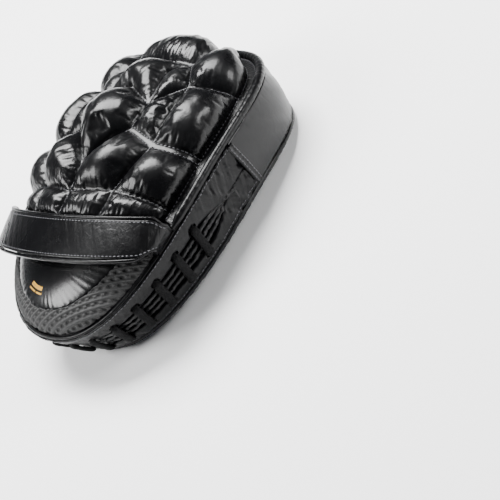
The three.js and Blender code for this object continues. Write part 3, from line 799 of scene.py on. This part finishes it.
    def swell(self, free: Array, here: Array) -> Array:
        """Height of a skin blown up between sewn lines, as a power of a pressed membrane's height."""
        step = float(np.mean(np.linalg.norm(np.diff(here, axis=1), axis=-1)))
        rise = float(np.mean(np.linalg.norm(np.diff(here, axis=0), axis=-1)))
        wx, wy = 1 / step ** 2, 1 / rise ** 2
        skin = np.zeros(free.shape)
        rows, columns = np.indices(free.shape)
        inner = np.zeros(free.shape, bool)
        inner[1:-1, 1:-1] = True
        halves = [free & inner & ((rows + columns) % 2 == k) for k in (0, 1)]
        for _ in range(420):
            for half in halves:
                around = np.zeros_like(skin)
                around[1:-1, 1:-1] = (wx * (skin[1:-1, 2:] + skin[1:-1, :-2])
                                      + wy * (skin[2:, 1:-1] + skin[:-2, 1:-1]) + 4.0) / (2 * wx + 2 * wy)
                skin = np.where(half, skin + 1.88 * (around - skin), skin)
        height = self.puff * np.clip(skin, 0, None) ** self.dome
        for _ in range(2):
            soft = height.copy()
            soft[1:-1, 1:-1] = 0.5 * height[1:-1, 1:-1] + 0.125 * (
                height[1:-1, 2:] + height[1:-1, :-2] + height[2:, 1:-1] + height[:-2, 1:-1])
            height = soft
        return height

    def height_at(self, u: Array, v: Array) -> Array:
        """Height of the cover at any u and v, between its grid points."""
        x, y = np.clip(u, 0, 1) * self.columns, np.clip(v, 0, 1) * self.rows
        i, j = np.minimum(x.astype(int), self.columns - 1), np.minimum(y.astype(int), self.rows - 1)
        fx, fy, h = x - i, y - j, self.heights
        return ((h[j, i] * (1 - fx) + h[j, i + 1] * fx) * (1 - fy)
                + (h[j + 1, i] * (1 - fx) + h[j + 1, i + 1] * fx) * fy)

    def place(self, u: Array, v: Array) -> Array:
        """Frame point of the cover's outer face."""
        across, y = self.grid_to_layout(u, v)
        return FORM.frame(FORM.shell(across, y, self.height_at(u, v)))

    def build_cover(self) -> bpy.types.Object:
        """The quilted leather sheet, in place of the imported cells."""
        cells = sorted(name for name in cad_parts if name.startswith("scute_"))
        bm = Maker.sheet(self.columns, self.rows, self.place)
        cover = Maker.finish("hand_cover", bm, QUILT_LEATHER, "mitt", "leather", cells,
                             solid_mm=self.leather)
        u, v = np.meshgrid(np.linspace(0, 1, self.columns + 1), np.linspace(0, 1, self.rows + 1))
        Maker.settle(cover, self.sewn_points(u.ravel(), v.ravel()), grow=0.014, cap_mm=2.2)
        return cover

    def build_stitches(self) -> None:
        """One row in each narrow seam, and a row at each edge of a wide strip."""
        rows = []
        for seam, line in self.seam_lines():
            flat = self.to_mm(*line.T)
            across = np.stack([-np.gradient(flat[:, 1]), np.gradient(flat[:, 0])], -1)
            across /= np.linalg.norm(across, axis=1, keepdims=True)
            for offset in ((-1.7, 1.7) if seam.wide else (0.0,)):
                moved = line + across * offset / (94.0, 1.0)
                points = FORM.frame(FORM.shell(moved[:, 0], moved[:, 1], self.sewn_height + 0.25))
                under = FORM.frame(FORM.shell(moved[:, 0], moved[:, 1], 0.0))
                rows.append((points[3:-3], (points - under)[3:-3]))
        Maker.stitches("cover_stitches", rows, "mitt", "leather")

    def flange_place(self, u: Array, v: Array) -> Array:
        """Frame point of the flat sewn edge between the cells and the welt, ruffled along its inner side."""
        start = FORM.length_at_y(self.welt_end_y)
        s = start + (FORM.perimeter / 2 - 2 * start) * u
        ruffle = 0.35 * ripple(s / 5.0, 21) * (1 - v) + 0.15 * ripple(s / 3.1, 22)
        z = 48.6 - 1.9 * v ** 0.8 + ruffle + 0.9 * np.sin(v * math.pi)
        return FORM.frame(FORM.wall(s, -16.4 + 12.2 * v, z))

    def build_edge(self) -> None:
        """Flange with its two rows of stitches, and the rolled welt outside it."""
        flange = Maker.sheet(420, 10, self.flange_place)
        bmesh.ops.reverse_faces(flange, faces=flange.faces)
        Maker.finish("cover_flange", flange, EDGE_LEATHER, "mitt", "leather", ["shell_flange"], solid_mm=1.2)
        u = np.linspace(0.002, 0.998, 500)
        rows = []
        for v in (0.42, 0.86):
            points = self.flange_place(u, np.full_like(u, v))
            rows.append((points + np.array([0, 0, 0.25 * MM]), np.tile([0.0, 0, 1], (len(u), 1))))
        Maker.stitches("flange_stitches", rows, "mitt", "leather")
        start = FORM.length_at_y(self.welt_end_y)
        s = np.linspace(start - 2, FORM.perimeter / 2 - start + 2, 420)
        path, out, up = Maker.along_wall(s, -1.9, 44.5 + self.welt_radius)
        taper = np.clip(np.minimum(s - s[0], s[-1] - s) / 9, 0.35, 1) ** 0.5
        radius = self.welt_radius * taper * (1 + 0.035 * ripple(s / 6, 31) + 0.02 * ripple(s / 2.2, 32))
        Maker.finish("back_welt_roll", Maker.tube(path, out, up, radius, radius, facets=16), WALL_LEATHER,
                     "mitt", "leather", ["back_welt"])

    def build(self) -> None:
        """Builds the whole cover."""
        self.build_cover()

        def printed(u: Array, v: Array) -> Array:
            return self.place(u, v) + normals_of(self.place, u, v) * 0.08 * MM
        Maker.bars("cell_mark", printed, [(0.452, 0.535, 0.475, 0.492), (0.452, 0.487, 0.502, 0.512),
                                          (0.499, 0.535, 0.502, 0.512)])
        self.build_stitches()
        self.build_edge()


# ---- wall and lacing -----------------------------------------------------
@dataclass
class LacedWall:
    """Wall of the mitt: smooth fingertip gusset, laced lips, ply edges, lace, side strips and face piping."""
    lip_low_top: float = 16.0
    lip_high_bottom: float = 31.4
    closed_z: float = 24.2          # height where the lips meet beside the side seams
    rib_heights: tuple[float, ...] = (18.9, 23.7, 28.5)
    crossings: int = 14
    pitch: float = 20.0
    slant: float = 5.0
    low_hole_z: float = 12.4
    high_hole_z: float = 35.2
    hole_half: tuple[float, float] = (3.5, 1.9)
    lace_half: tuple[float, float] = (2.9, 1.15)
    piping_radius: float = 2.1

    @cached_property
    def span(self) -> tuple[float, float]:
        """Arc length of the laced wall, from the +X side seam round the wrist to the other."""
        seam = FORM.length_at_y(FORM.seam_y)
        return FORM.perimeter / 2 - seam, FORM.perimeter + seam

    def crossing(self, i: int) -> float:
        """Arc length of the low end of crossing i."""
        return FORM.wrist_middle - (i - (self.crossings - 1) / 2) * self.pitch - self.slant / 2

    def closing(self, s: Array) -> Array:
        """1 where the lips meet beside a side seam, 0 along the lacing."""
        start, end = self.span
        first, last = self.crossing(self.crossings - 1), self.crossing(0) + self.slant
        return 1 - smooth(start + 22, first - 2, s) * (1 - smooth(last + 2, end - 22, s))

    def buckle(self, s: Array, z: Array) -> Array:
        """Outward folds of the soft wall, pulled in at each crossing."""
        folds = 0.9 * ripple(s / 19 + z / 31, 41) + 0.5 * ripple(s / 9 - z / 17, 42)
        loose = 0.35 + 0.9 * self.closing(s)
        pulled = sum(np.exp(-((s - self.crossing(i) - self.slant / 2) / 4.5) ** 2)
                     for i in range(self.crossings))
        return folds * loose - 0.7 * pulled * np.exp(-((z - self.closed_z) / 9) ** 2)

    def lip_place(self, high: bool) -> Place:
        """Placement of a lip: u round the wrist from seam to seam, v up from its lower edge."""
        def place(u: Array, v: Array) -> Array:
            s = self.span[0] + 0.4 + (self.span[1] - self.span[0] - 0.8) * u
            closed = self.closing(s)
            if high:
                low = self.lip_high_bottom + (self.closed_z + 0.2 - self.lip_high_bottom) * closed
                z, free = low + (FORM.wall_top + 0.6 - low) * v, 1 - v
            else:
                top = self.lip_low_top + (self.closed_z - 0.2 - self.lip_low_top) * closed
                z, free = 7.6 + (top - 7.6) * v, v
            curl = -0.9 * smooth(0.86, 1.0, free) * (1 - closed) + 0.5 * np.sin(v * math.pi)
            fixed = smooth(0, 0.25, 1 - free)
            return FORM.frame(FORM.wall(s, curl + self.buckle(s, z) * (1 - 0.75 * (1 - fixed)) * 0.8, z))
        return place

    def build_lips(self) -> None:
        """Both lips with their punched oval eyelets, edge rims and stitches."""
        start, width = self.span[0] + 0.4, self.span[1] - self.span[0] - 0.8
        for name, node_name, high in (("face_side_lip", "face_lip", False), ("back_side_lip", "back_lip", True)):
            place = self.lip_place(high)
            bm = bmesh.new()
            bmesh.ops.create_grid(bm, x_segments=430, y_segments=16, size=0.5)
            bmesh.ops.translate(bm, vec=(0.5, 0.5, 0), verts=bm.verts)
            low, top = (self.lip_high_bottom, FORM.wall_top + 0.6) if high else (7.6, self.lip_low_top)
            for i in range(self.crossings):
                s = self.crossing(i) + (self.slant if high else 0)
                u = (s - start) / width
                v = ((self.high_hole_z if high else self.low_hole_z) - low) / (top - low)
                self.punch(bm, u, v, self.hole_half[0] / width, self.hole_half[1] / (top - low))
            flat = np.array([vert.co[:2] for vert in bm.verts])
            for vert, point in zip(bm.verts, place(flat[:, 0], flat[:, 1])):
                vert.co = point
            Maker.finish(name, bm, WALL_LEATHER, "mitt", "leather", [node_name], solid_mm=1.7)
            u = np.linspace(0.004, 0.996, 560)
            v = np.full_like(u, 0.93 if high else 0.16)
            Maker.stitches(name + "_stitches", [(place(u, v), normals_of(place, u, v))], "mitt", "leather",
                           pitch_mm=3.0)

    @staticmethod
    def punch(bm: bmesh.types.BMesh, u: float, v: float, half_u: float, half_v: float) -> None:
        """Cuts an oval hole in a flat sheet and rounds its rim."""
        def far(co: Vector) -> float:
            return math.hypot((co.x - u) / half_u, (co.y - v) / half_v)
        gone = [f for f in bm.faces if far(f.calc_center_median()) < 1]
        bmesh.ops.delete(bm, geom=gone, context="FACES")
        for vert in [w for w in bm.verts if w.is_boundary and 0.3 < far(w.co) < 1.9]:
            scale = 1 / far(vert.co)
            vert.co.x, vert.co.y = u + (vert.co.x - u) * scale, v + (vert.co.y - v) * scale

    def build_ribs(self) -> None:
        """The raw edges of the leather plies that the lace goes over."""
        s = np.linspace(self.span[0] + 14, self.span[1] - 14, 460)
        for number, height in enumerate(self.rib_heights, 1):
            gap = self.closed_z + (height - self.closed_z) * (1 - 0.75 * self.closing(s))
            depth = -2.2 + 0.45 * ripple(s / 15, 50 + number) + 0.5 * self.buckle(s, np.full_like(s, height))
            path, out, up = Maker.along_wall(s, depth, gap + 0.25 * ripple(s / 11, 55 + number))
            tube = Maker.tube(path, out, up, 1.9, 1.75 + 0.2 * ripple(s / 7, 58 + number), facets=10, square=0.75)
            Maker.finish(f"ply_rib_{number}", tube, EDGE_LEATHER, "mitt", "leather", [f"ply_edge_{number}"])

    def build_lace(self) -> None:
        """One flat lace whipped over the ribs, through both rows of eyelets."""
        knots = []
        for i in range(self.crossings - 1, -1, -1):
            low, high = self.crossing(i), self.crossing(i) + self.slant
            knots += [(low, -5.2, self.low_hole_z), (low, 1.0, self.low_hole_z + 0.4),
                      (low + 0.35 * self.slant, 1.9, self.low_hole_z + 7.5),
                      (low + 0.65 * self.slant, 1.9, self.high_hole_z - 7.5),
                      (high, 1.0, self.high_hole_z - 0.4), (high, -5.2, self.high_hole_z)]
        knots = np.array(knots)
        t = np.linspace(0, len(knots) - 1, (len(knots) - 1) * 6 + 1)
        k = np.clip(t.astype(int), 0, len(knots) - 2)
        f = (t - k)[:, None]
        before, after = knots[np.maximum(k - 1, 0)], knots[np.minimum(k + 2, len(knots) - 1)]
        a, b = knots[k], knots[k + 1]
        route = 0.5 * (2 * a + (b - before) * f + (2 * before - 5 * a + 4 * b - after) * f ** 2
                       + (3 * a - before - 3 * b + after) * f ** 3)
        path = FORM.frame(FORM.wall(*route.T))
        nx, ny = FORM.outline(route[:, 0])[2:]
        run = Maker.along(path)
        wide = np.stack([-ny, nx, np.zeros_like(nx)], -1)
        wide -= run * np.sum(wide * run, axis=1, keepdims=True)
        wide /= np.linalg.norm(wide, axis=1, keepdims=True)
        outside = smooth(0, 2, route[:, 1])
        width = self.lace_half[0] * (0.8 + 0.3 * outside)
        thick = self.lace_half[1] * (0.9 + 0.5 * outside)
        Maker.finish("whipped_lace", Maker.tube(path, wide, np.cross(run, wide), width, thick, 12, square=0.8),
                     LACE, "mitt", "lace", ["lace"])

    def gusset_place(self, u: Array, v: Array) -> Array:
        """Smooth wall around the fingertips, a little full, gathered where it is sewn."""
        seam = FORM.length_at_y(FORM.seam_y)
        s = seam + (FORM.perimeter / 2 - 2 * seam) * u
        z = 7.6 + (FORM.wall_top + 1.4 - 7.6) * v
        gather = 0.09 * ripple(s / 6.5, 61) * (np.exp(-v / 0.12) + np.exp((v - 1) / 0.12))
        return FORM.frame(FORM.wall(s, 1.5 * np.sin(v * math.pi) + gather + 0.3 * ripple(s / 47 + v, 62), z))

    def build_gusset(self) -> None:
        """Fingertip gusset, and the stitched strips over the two side seams."""
        Maker.finish("fingertip_wall", Maker.sheet(360, 24, self.gusset_place), FACE_LEATHER, "mitt", "leather",
                     ["fingertip_gusset"], solid_mm=1.8)
        seam = FORM.length_at_y(FORM.seam_y)
        rows = []
        for side, middle in (("right", seam), ("left", FORM.perimeter / 2 - seam)):
            def strip(u: Array, v: Array, middle: float = middle) -> Array:
                z = 8.5 + 35.5 * v
                folded = 1.9 + 0.9 * np.sin(v * math.pi) - 0.5 * np.cos((u - 0.5) * math.tau) ** 2
                edge = 1.4 * smooth(0.38, 0.5, np.abs(u - 0.5))
                return FORM.frame(FORM.wall(middle - 3.1 + 6.2 * u, folded - edge + 0.15 * ripple(v * 9, 71), z))
            Maker.finish(f"side_strip_{side}", Maker.sheet(14, 60, strip), EDGE_LEATHER, "mitt", "leather",
                         [f"seam_tape_{side}"], solid_mm=1.3)
            v = np.linspace(0.03, 0.97, 60)
            for u in (0.24, 0.76):
                rows.append((strip(np.full_like(v, u), v), normals_of(strip, np.full_like(v, u), v)))
        Maker.stitches("side_strip_stitches", rows, "mitt", "leather", pitch_mm=2.8)

    def build_piping(self) -> None:
        """Piping around the striking face, and the folded edge around the heel."""
        s = np.linspace(0, FORM.perimeter, 521)[:-1]
        heel = np.linspace(self.span[0] + 54, self.span[1] - 54, 300)
        for name, at, depth, z, radius, loop, replaced in (
                ("face_piping", s, -1.6, 5.6, self.piping_radius, True, ["face_welt"]),
                ("heel_fold", heel, -2.6, 44.9, 1.5, False, [])):
            path, out, up = Maker.along_wall(at, depth, z, loop)
            size = radius * (1 + 0.03 * ripple(at / 7, 81))
            Maker.finish(name, Maker.tube(path, out, up, size, size, 14, loop=loop), WALL_LEATHER, "mitt",
                         "leather", replaced)

    def build(self) -> None:
        """Builds the whole wall."""
        self.build_lips()
        self.build_ribs()
        self.build_lace()
        self.build_gusset()
        self.build_piping()


# ---- striking face -------------------------------------------------------
@dataclass
class StrikingFace:
    """Padded face leather: rolled rim, a soft ring around the recessed target, radial creases, a gold ring."""
    target_y: float = 8.0
    target_radius: float = 47.0
    ring_radius: float = 56.0
    disc_lift: float = 5.4
    rim_z: float = 6.2
    leather: float = 1.6
    mark_radius: float = 17.0

    def polar(self, u: Array, v: Array) -> tuple[Array, Array, Array]:
        """Layout x, y and distance from the target for an angle u and a fraction v to the rim."""
        s = u * FORM.perimeter
        rim = FORM.wall(s, -4.2, 6.0)
        dx, dy = rim[..., 0], rim[..., 1] - self.target_y
        reach = np.hypot(dx, dy)
        out = smooth(0.58, 0.95, v)
        radius = (v / 0.6 * self.ring_radius) * (1 - out) + reach * v * out
        return dx / reach * radius, self.target_y + dy / reach * radius, radius

    def place(self, u: Array, v: Array) -> Array:
        """Frame point of the face leather's outer side."""
        x, y, radius = self.polar(u, v)
        pad = self.rim_z * np.clip((v - 0.72) / 0.28, 0, 1) ** 2.2
        flat = (FORM.arch_radius + self.disc_lift) / np.cos((y - FORM.arch_mid_y) / FORM.arch_radius)
        recess = smooth(self.ring_radius, self.target_radius, radius)
        z = pad * (1 - recess) + (flat - FORM.arch_radius) * recess
        z -= 0.9 * np.exp(-((radius - self.ring_radius - 1.5) / 4.5) ** 2)
        creases = ripple(u * 46, 91) * closing_ends(u) * smooth(58, 76, radius) * (1 - smooth(0.9, 1.0, v))
        return FORM.frame(np.stack([x, y, z + 0.14 * creases], -1))

    def build(self) -> None:
        """Face leather and its generic mark."""
        bm = Maker.sheet(264, 84, lambda u, v: self.place(u, 0.004 + 0.996 * v), around=True)
        edges = [e for e in bm.edges if e.is_boundary and (e.verts[0].co.xy - Vector((0, 0.01))).length < 0.005]
        bmesh.ops.contextual_create(bm, geom=edges)
        bmesh.ops.recalc_face_normals(bm, faces=bm.faces)
        if sum(f.normal.z for f in bm.faces) > 0:
            bmesh.ops.reverse_faces(bm, faces=bm.faces)
        face = Maker.finish("striking_face", bm, FACE_LEATHER, "mitt", "leather", ["face_leather"],
                            solid_mm=self.leather)
        level = (FORM.arch_rise + self.disc_lift + FORM.shift[2] - 0.12) * MM
        middle = Vector((FORM.shift[0], self.target_y - FORM.arch_mid_y + FORM.shift[1], 0)) * MM
        bm = bmesh.new()
        for outer, inner in ((self.mark_radius, self.mark_radius - 2.2), (self.mark_radius - 6, self.mark_radius - 7.2)):
            made = bmesh.ops.create_circle(bm, cap_ends=True, radius=outer * MM, segments=72)
            face_made = [f for f in bm.faces if set(made["verts"]) <= set(f.verts)]
            bmesh.ops.inset_region(bm, faces=face_made, thickness=(outer - inner) * MM, use_boundary=True)
            bmesh.ops.delete(bm, geom=face_made, context="FACES")
        bmesh.ops.translate(bm, vec=(middle.x, middle.y, level), verts=bm.verts)
        bmesh.ops.recalc_face_normals(bm, faces=bm.faces)
        Maker.finish("face_ring_mark", bm, GOLD, "mitt", "leather", solid_mm=0.1)


# ---- palm dome -----------------------------------------------------------
@dataclass
class PalmDome:
    """Domed rest for the heel of the hand: glossy pad, knitted mesh around it, foam inside."""
    height: float = 17.5
    centre_y: float = -84.0
    front_y: float = -40.0
    rim_inset: float = 5.0
    wrist_share: float = 0.68
    mesh_pitch: tuple[float, float] = (6.0, 3.4)     # along a row, and from row to row
    hole_half: tuple[float, float] = (1.9, 0.95)
    knit_slant: float = 24.0

    def rim(self, u: Array) -> Array:
        """Layout x and y around the dome: the wrist-end wall, then closed across under the cover."""
        start = FORM.length_at_y(-52)
        stop = -FORM.perimeter / 2 - start
        wrist = FORM.wall(start + (stop - start) * np.clip(u / self.wrist_share, 0, 1), -self.rim_inset, 44.0)
        right, left = (FORM.wall(np.array(s), -self.rim_inset, 44.0) for s in (start, stop))
        f = np.clip((u - self.wrist_share) / (1 - self.wrist_share), 0, 1)
        x = left[0] + (right[0] - left[0]) * f
        y = left[1] + (self.front_y - left[1]) * np.sin(math.pi * f) ** 0.8
        return np.where((u <= self.wrist_share)[..., None], wrist[..., :2], np.stack([x, y], -1))

    def rise(self, f: Array) -> Array:
        """Height of the foam dome at a fraction of the way to its rim."""
        return self.height * np.clip(1 - np.clip(f, 0, 1) ** 2.3, 0, None) ** 0.62

    def pad_edge(self, u: Array) -> Array:
        """How far out the glossy pad reaches; furthest at the sides."""
        round_wrist = np.clip(u / self.wrist_share, 0, 1)
        edge = 0.7 + 0.12 * np.abs(2 * round_wrist - 1) ** 2
        return np.where(u <= self.wrist_share, edge, 0.82)

    def skin(self, u: Array, f: Array, lift: Array) -> Array:
        """Frame point over the dome at a lift above the foam."""
        out = f * (1 + lift * f ** 3 / 62)
        rim = self.rim(u)
        x, y = rim[..., 0] * out, self.centre_y + (rim[..., 1] - self.centre_y) * out
        z = FORM.wall_top + 0.5 + self.rise(f) + lift * (1 - 0.55 * f ** 3)
        return FORM.frame(np.stack([x, y, z], -1))

    def pad_place(self, u: Array, v: Array) -> Array:
        """Outer face of the glossy pad, gathered along its sewn edge."""
        edge = self.pad_edge(u)
        gather = ripple(u * 130, 101) * closing_ends(u) * np.exp((v - 1) / 0.16) * (1 - smooth(0.97, 1.0, v))
        swell = 0.7 + 2.4 * np.clip(1 - v ** 2.2, 0, None) ** 0.6
        return self.skin(u, v * edge, swell + 0.34 * gather)

    def knit(self, x: Array, y: Array) -> Array:
        """Thread height of the mesh at a layout place, 0 in its holes and 1 on its strands."""
        slant = math.radians(self.knit_slant)
        along = x * math.cos(slant) + y * math.sin(slant)
        row = (y * math.cos(slant) - x * math.sin(slant)) / self.mesh_pitch[1]
        a = along / self.mesh_pitch[0] + 0.5 * np.mod(np.floor(row), 2) + 0.22 * (np.mod(row, 1) - 0.5)
        da, db = np.mod(a, 1) - 0.5, np.mod(row, 1) - 0.5
        far = np.hypot(da * self.mesh_pitch[0] / self.hole_half[0],
                       db * self.mesh_pitch[1] / self.hole_half[1])
        strand = 0.8 + 0.2 * np.cos(math.tau * db * 2)
        return smooth(0.5, 1.3, far) * strand

    def mesh_plan(self, u: Array, v: Array) -> tuple[Array, Array, Array]:
        """Where a mesh point is: its place around the rim, its fraction out, and its knit height."""
        around = np.clip(u, 0, 1) * self.wrist_share
        low = self.pad_edge(around) + 0.004
        f = low + (0.992 - low) * v
        rim = self.rim(around)
        return around, f, self.knit(rim[..., 0] * f, (rim[..., 1] - self.centre_y) * f)

    def mesh_place(self, u: Array, v: Array) -> Array:
        """Outer face of the knitted mesh from the pad's edge down to the heel."""
        around, f, knit = self.mesh_plan(u, v)
        return self.skin(around, f, 0.6 + 1.5 * knit + 0.3 * np.sin(v * math.pi))

    def build(self) -> None:
        """Pad, mesh and the generic mark."""
        bm = Maker.sheet(300, 60, lambda u, v: self.pad_place(u, 0.004 + 0.996 * v), around=True)
        hub = [e for e in bm.edges if e.is_boundary and e.calc_length() < 0.2 * MM]
        bmesh.ops.contextual_create(bm, geom=hub)
        bmesh.ops.recalc_face_normals(bm, faces=bm.faces)
        if sum(f.normal.z for f in bm.faces) < 0:
            bmesh.ops.reverse_faces(bm, faces=bm.faces)
        pad = Maker.finish("palm_grip_pad", bm, PAD_LEATHER, "mitt", "leather", ["palm_pad"], solid_mm=1.0)
        def printed(u: Array, v: Array) -> Array:
            return self.pad_place(u, v) + normals_of(self.pad_place, u, v) * 0.06 * MM
        Maker.bars("palm_mark", printed, [(0.372, 0.468, 0.57, 0.65), (0.372, 0.412, 0.70, 0.735),
                                          (0.421, 0.468, 0.70, 0.735)])
        bm = Maker.sheet(560, 84, self.mesh_place)
        flat_u, flat_v = np.meshgrid(np.linspace(0, 1, 561), np.linspace(0, 1, 85))
        heights = self.mesh_plan(flat_u.ravel(), flat_v.ravel())[2]
        if (bm.faces[:][0].normal.z if bm.faces else 1) < 0:
            bmesh.ops.reverse_faces(bm, faces=bm.faces)
        heel = Maker.finish("heel_spacer_mesh", bm, HEEL_MESH, "mitt", "spacer_mesh", ["heel_mesh"], solid_mm=1.2)
        # the knit height also sets the mesh colour: painted shade in the holes
        knit = heel.data.attributes.new("knit", "FLOAT", "POINT")
        knit.data.foreach_set("value", heights.astype(np.float32))


# ---- wrist strap ---------------------------------------------------------
@dataclass
class WristStrap:
    """Leather strap with a knit lining and two bound, stitched edges; its ends are sewn into the wall."""
    base_y: float = -57.0
    lean: float = 15.8
    width: float = 27.0
    half_span: float = 84.0
    rise: float = 24.2
    base_z: float = 53.0
    peak: float = 1.12
    tuck: float = 12.0              # how far the ends reach down into the wall

    def point(self, around: Array, along: Array, height: Array | float) -> Array:
        """Frame point: around is -1 to 1 over the hand and beyond for the tucked ends; along is -1 to 1."""
        inside = np.clip(around, -1, 1)
        down = np.clip((np.abs(around) - 1) / 0.12, 0, 1)
        f = inside * math.pi / 2
        rise = np.clip(np.cos(f), 0, None) ** 0.85
        taper = 0.62 + 0.38 * smooth(1, 0.8, np.abs(inside))
        y = self.base_y - self.lean * rise + along * (self.width / 2) * taper
        span = self.half_span + height * np.abs(np.sin(f)) ** 3
        x = span * np.sign(f) * np.abs(np.sin(f)) ** self.peak
        wall = np.sign(f) * (FORM.half_at(y, 0) - 5.4 + height)
        x = x * (1 - down) + wall * down
        z = self.base_z + self.rise * rise + height * rise + along * 2.2 * rise - self.tuck * down
        return FORM.frame(np.stack(np.broadcast_arrays(x, y, z), -1))

    def build(self) -> None:
        """Band, lining, bindings and stitches, each running from inside the wall over the strap; they are then
        unparented and left fixed.
        """
        reach = 1.07

        def outer(u: Array, v: Array) -> Array:
            around, along = (2 * u - 1) * reach, (2 * v - 1) * 0.88
            crease = 0.16 * ripple(u * 58, 111) * smooth(0.45, 0.1, u) + 0.10 * ripple(u * 31 + v * 2, 112)
            return self.point(around, along, 2.3 + 0.35 * (1 - along ** 2) + crease)

        def inner(u: Array, v: Array) -> Array:
            return self.point((2 * u - 1) * reach, (2 * v - 1) * 0.86, -0.4)
        pieces = [
            Maker.finish("strap_band", Maker.sheet(300, 26, outer), STRAP_LEATHER, "strap", "leather",
                         ["wrist_strap"], solid_mm=2.0),
            Maker.finish("strap_knit_lining", Maker.sheet(200, 16, inner), LINING, "strap", "lining",
                         ["strap_lining"], solid_mm=1.4)]
        u = np.linspace(-reach, reach, 220)
        for name, replaced, at in (("strap_edge_wrist", "strap_binding_wrist", -0.97),
                                   ("strap_edge_finger", "strap_binding_finger", 0.97)):
            path = self.point(u, np.full_like(u, at), 0.3)
            side = self.point(u, np.full_like(u, at + 0.05), 0.3) - path
            side /= np.linalg.norm(side, axis=1, keepdims=True)
            out = np.cross(Maker.along(path), side)
            size = 2.2 * (1 + 0.03 * ripple(u * 12, 113))
            tube = Maker.tube(path, side, out, 1.35, size, facets=14, square=0.8)
            pieces.append(Maker.finish(name, tube, STRAP_LEATHER, "strap", "leather", [replaced]))
        rows = []
        t = np.linspace(0.03, 0.97, 400)
        for place, levels in ((outer, (0.07, 0.93)), (inner, (0.1, 0.9))):
            for v in levels:
                points, normal = place(t, np.full_like(t, v)), normals_of(place, t, np.full_like(t, v))
                rows.append((points, normal))
        pieces.append(Maker.stitches("strap_stitches", rows, "strap", "leather", pitch_mm=3.0))
        for piece in pieces:
            piece.parent = None
            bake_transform(piece)


# ---- inside and studio ---------------------------------------------------
class InnerLayers:
    """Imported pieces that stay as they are, dressed in their own finishes."""
    finishes: dict[str, Finish] = {
        "face_foam": FOAM, "core_foam": FOAM, "back_foam": FOAM, "palm_foam": FOAM, "backing_board": BOARD,
        "hand_panel": LINING, "shell_lining": LINING}

    def build(self) -> None:
        """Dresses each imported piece."""
        for name, finish in self.finishes.items():
            finish.wear(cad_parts[name])
            log.info("%s: dressed in %s", name, finish.name)


@dataclass
class Studio:
    """Pale floor, soft boxes and the camera."""
    eye: tuple[float, float, float] = (0.69919, -0.30192, 0.49720)
    azimuth: float = 64.681
    elevation: float = 36.744
    roll: float = 45.849
    lens: float = 88.0

    def build(self) -> None:
        """Makes the camera, the floor and the lights."""
        scene = bpy.context.scene
        camera = bpy.data.objects.new("camera", bpy.data.cameras.new("camera"))
        camera.data.lens, camera.data.sensor_width = self.lens, 36.0
        az, el, roll = (math.radians(a) for a in (self.azimuth, self.elevation, self.roll))
        back = Vector((math.sin(az) * math.cos(el), -math.cos(az) * math.cos(el), math.sin(el)))
        right = Vector((math.cos(az), math.sin(az), 0))
        up = back.cross(right)
        level = Matrix((right, up, back)).transposed()
        camera.matrix_world = (Matrix.Translation(self.eye)
                               @ (level @ Matrix.Rotation(-roll, 3, "Z")).to_4x4())
        scene.collection.objects.link(camera)
        scene.camera = camera
        bm = bmesh.new()
        bmesh.ops.create_grid(bm, x_segments=1, y_segments=1, size=6.0)
        mesh = bpy.data.meshes.new("floor")
        bm.to_mesh(mesh)
        bm.free()
        floor = bpy.data.objects.new("floor", mesh)
        FLOOR.wear(floor)
        scene.collection.objects.link(floor)
        self.world(scene)
        for name, place, size, power in (
                ("overhead_box", (-0.35, 0.55, 1.25), (1.0, 0.7), 84.0),
                ("front_box", (-0.9, -0.9, 1.1), (0.6, 0.9), 34.0),
                ("side_box", (1.3, 0.9, 0.8), (0.7, 0.5), 26.0)):
            self.soft_box(scene, name, place, size, power)

    @staticmethod
    def world(scene: bpy.types.Scene) -> None:
        """Even pale surroundings."""
        world = bpy.data.worlds.new("surroundings")
        world.use_nodes = True
        sky = world.node_tree.nodes["Background"]
        sky.inputs["Color"].default_value = linear("dfe4ec")
        sky.inputs["Strength"].default_value = 0.16
        scene.world = world

    @staticmethod
    def soft_box(scene: bpy.types.Scene, name: str, place: tuple[float, float, float],
                 size: tuple[float, float], power: float) -> None:
        """An area light aimed at the mitt."""
        light = bpy.data.lights.new(name, "AREA")
        light.shape, light.size, light.size_y, light.energy = "RECTANGLE", size[0], size[1], power
        lamp = bpy.data.objects.new(name, light)
        aim = Vector((0, 0, 0.05)) - Vector(place)
        lamp.matrix_world = Matrix.Translation(place) @ aim.to_track_quat("-Z", "Y").to_matrix().to_4x4()
        scene.collection.objects.link(lamp)


def main() -> None:
    """Builds the mitt from its cover to its inside, then the studio."""
    logging.basicConfig(level=logging.INFO, format="%(name)s: %(message)s")
    Studio().build()
    for part in (HandCover(), LacedWall(), StrikingFace(), PalmDome(), WristStrap(), InnerLayers()):
        part.build()
        log.info("%s built", type(part).__name__)


if __name__ == "__main__":
    main()
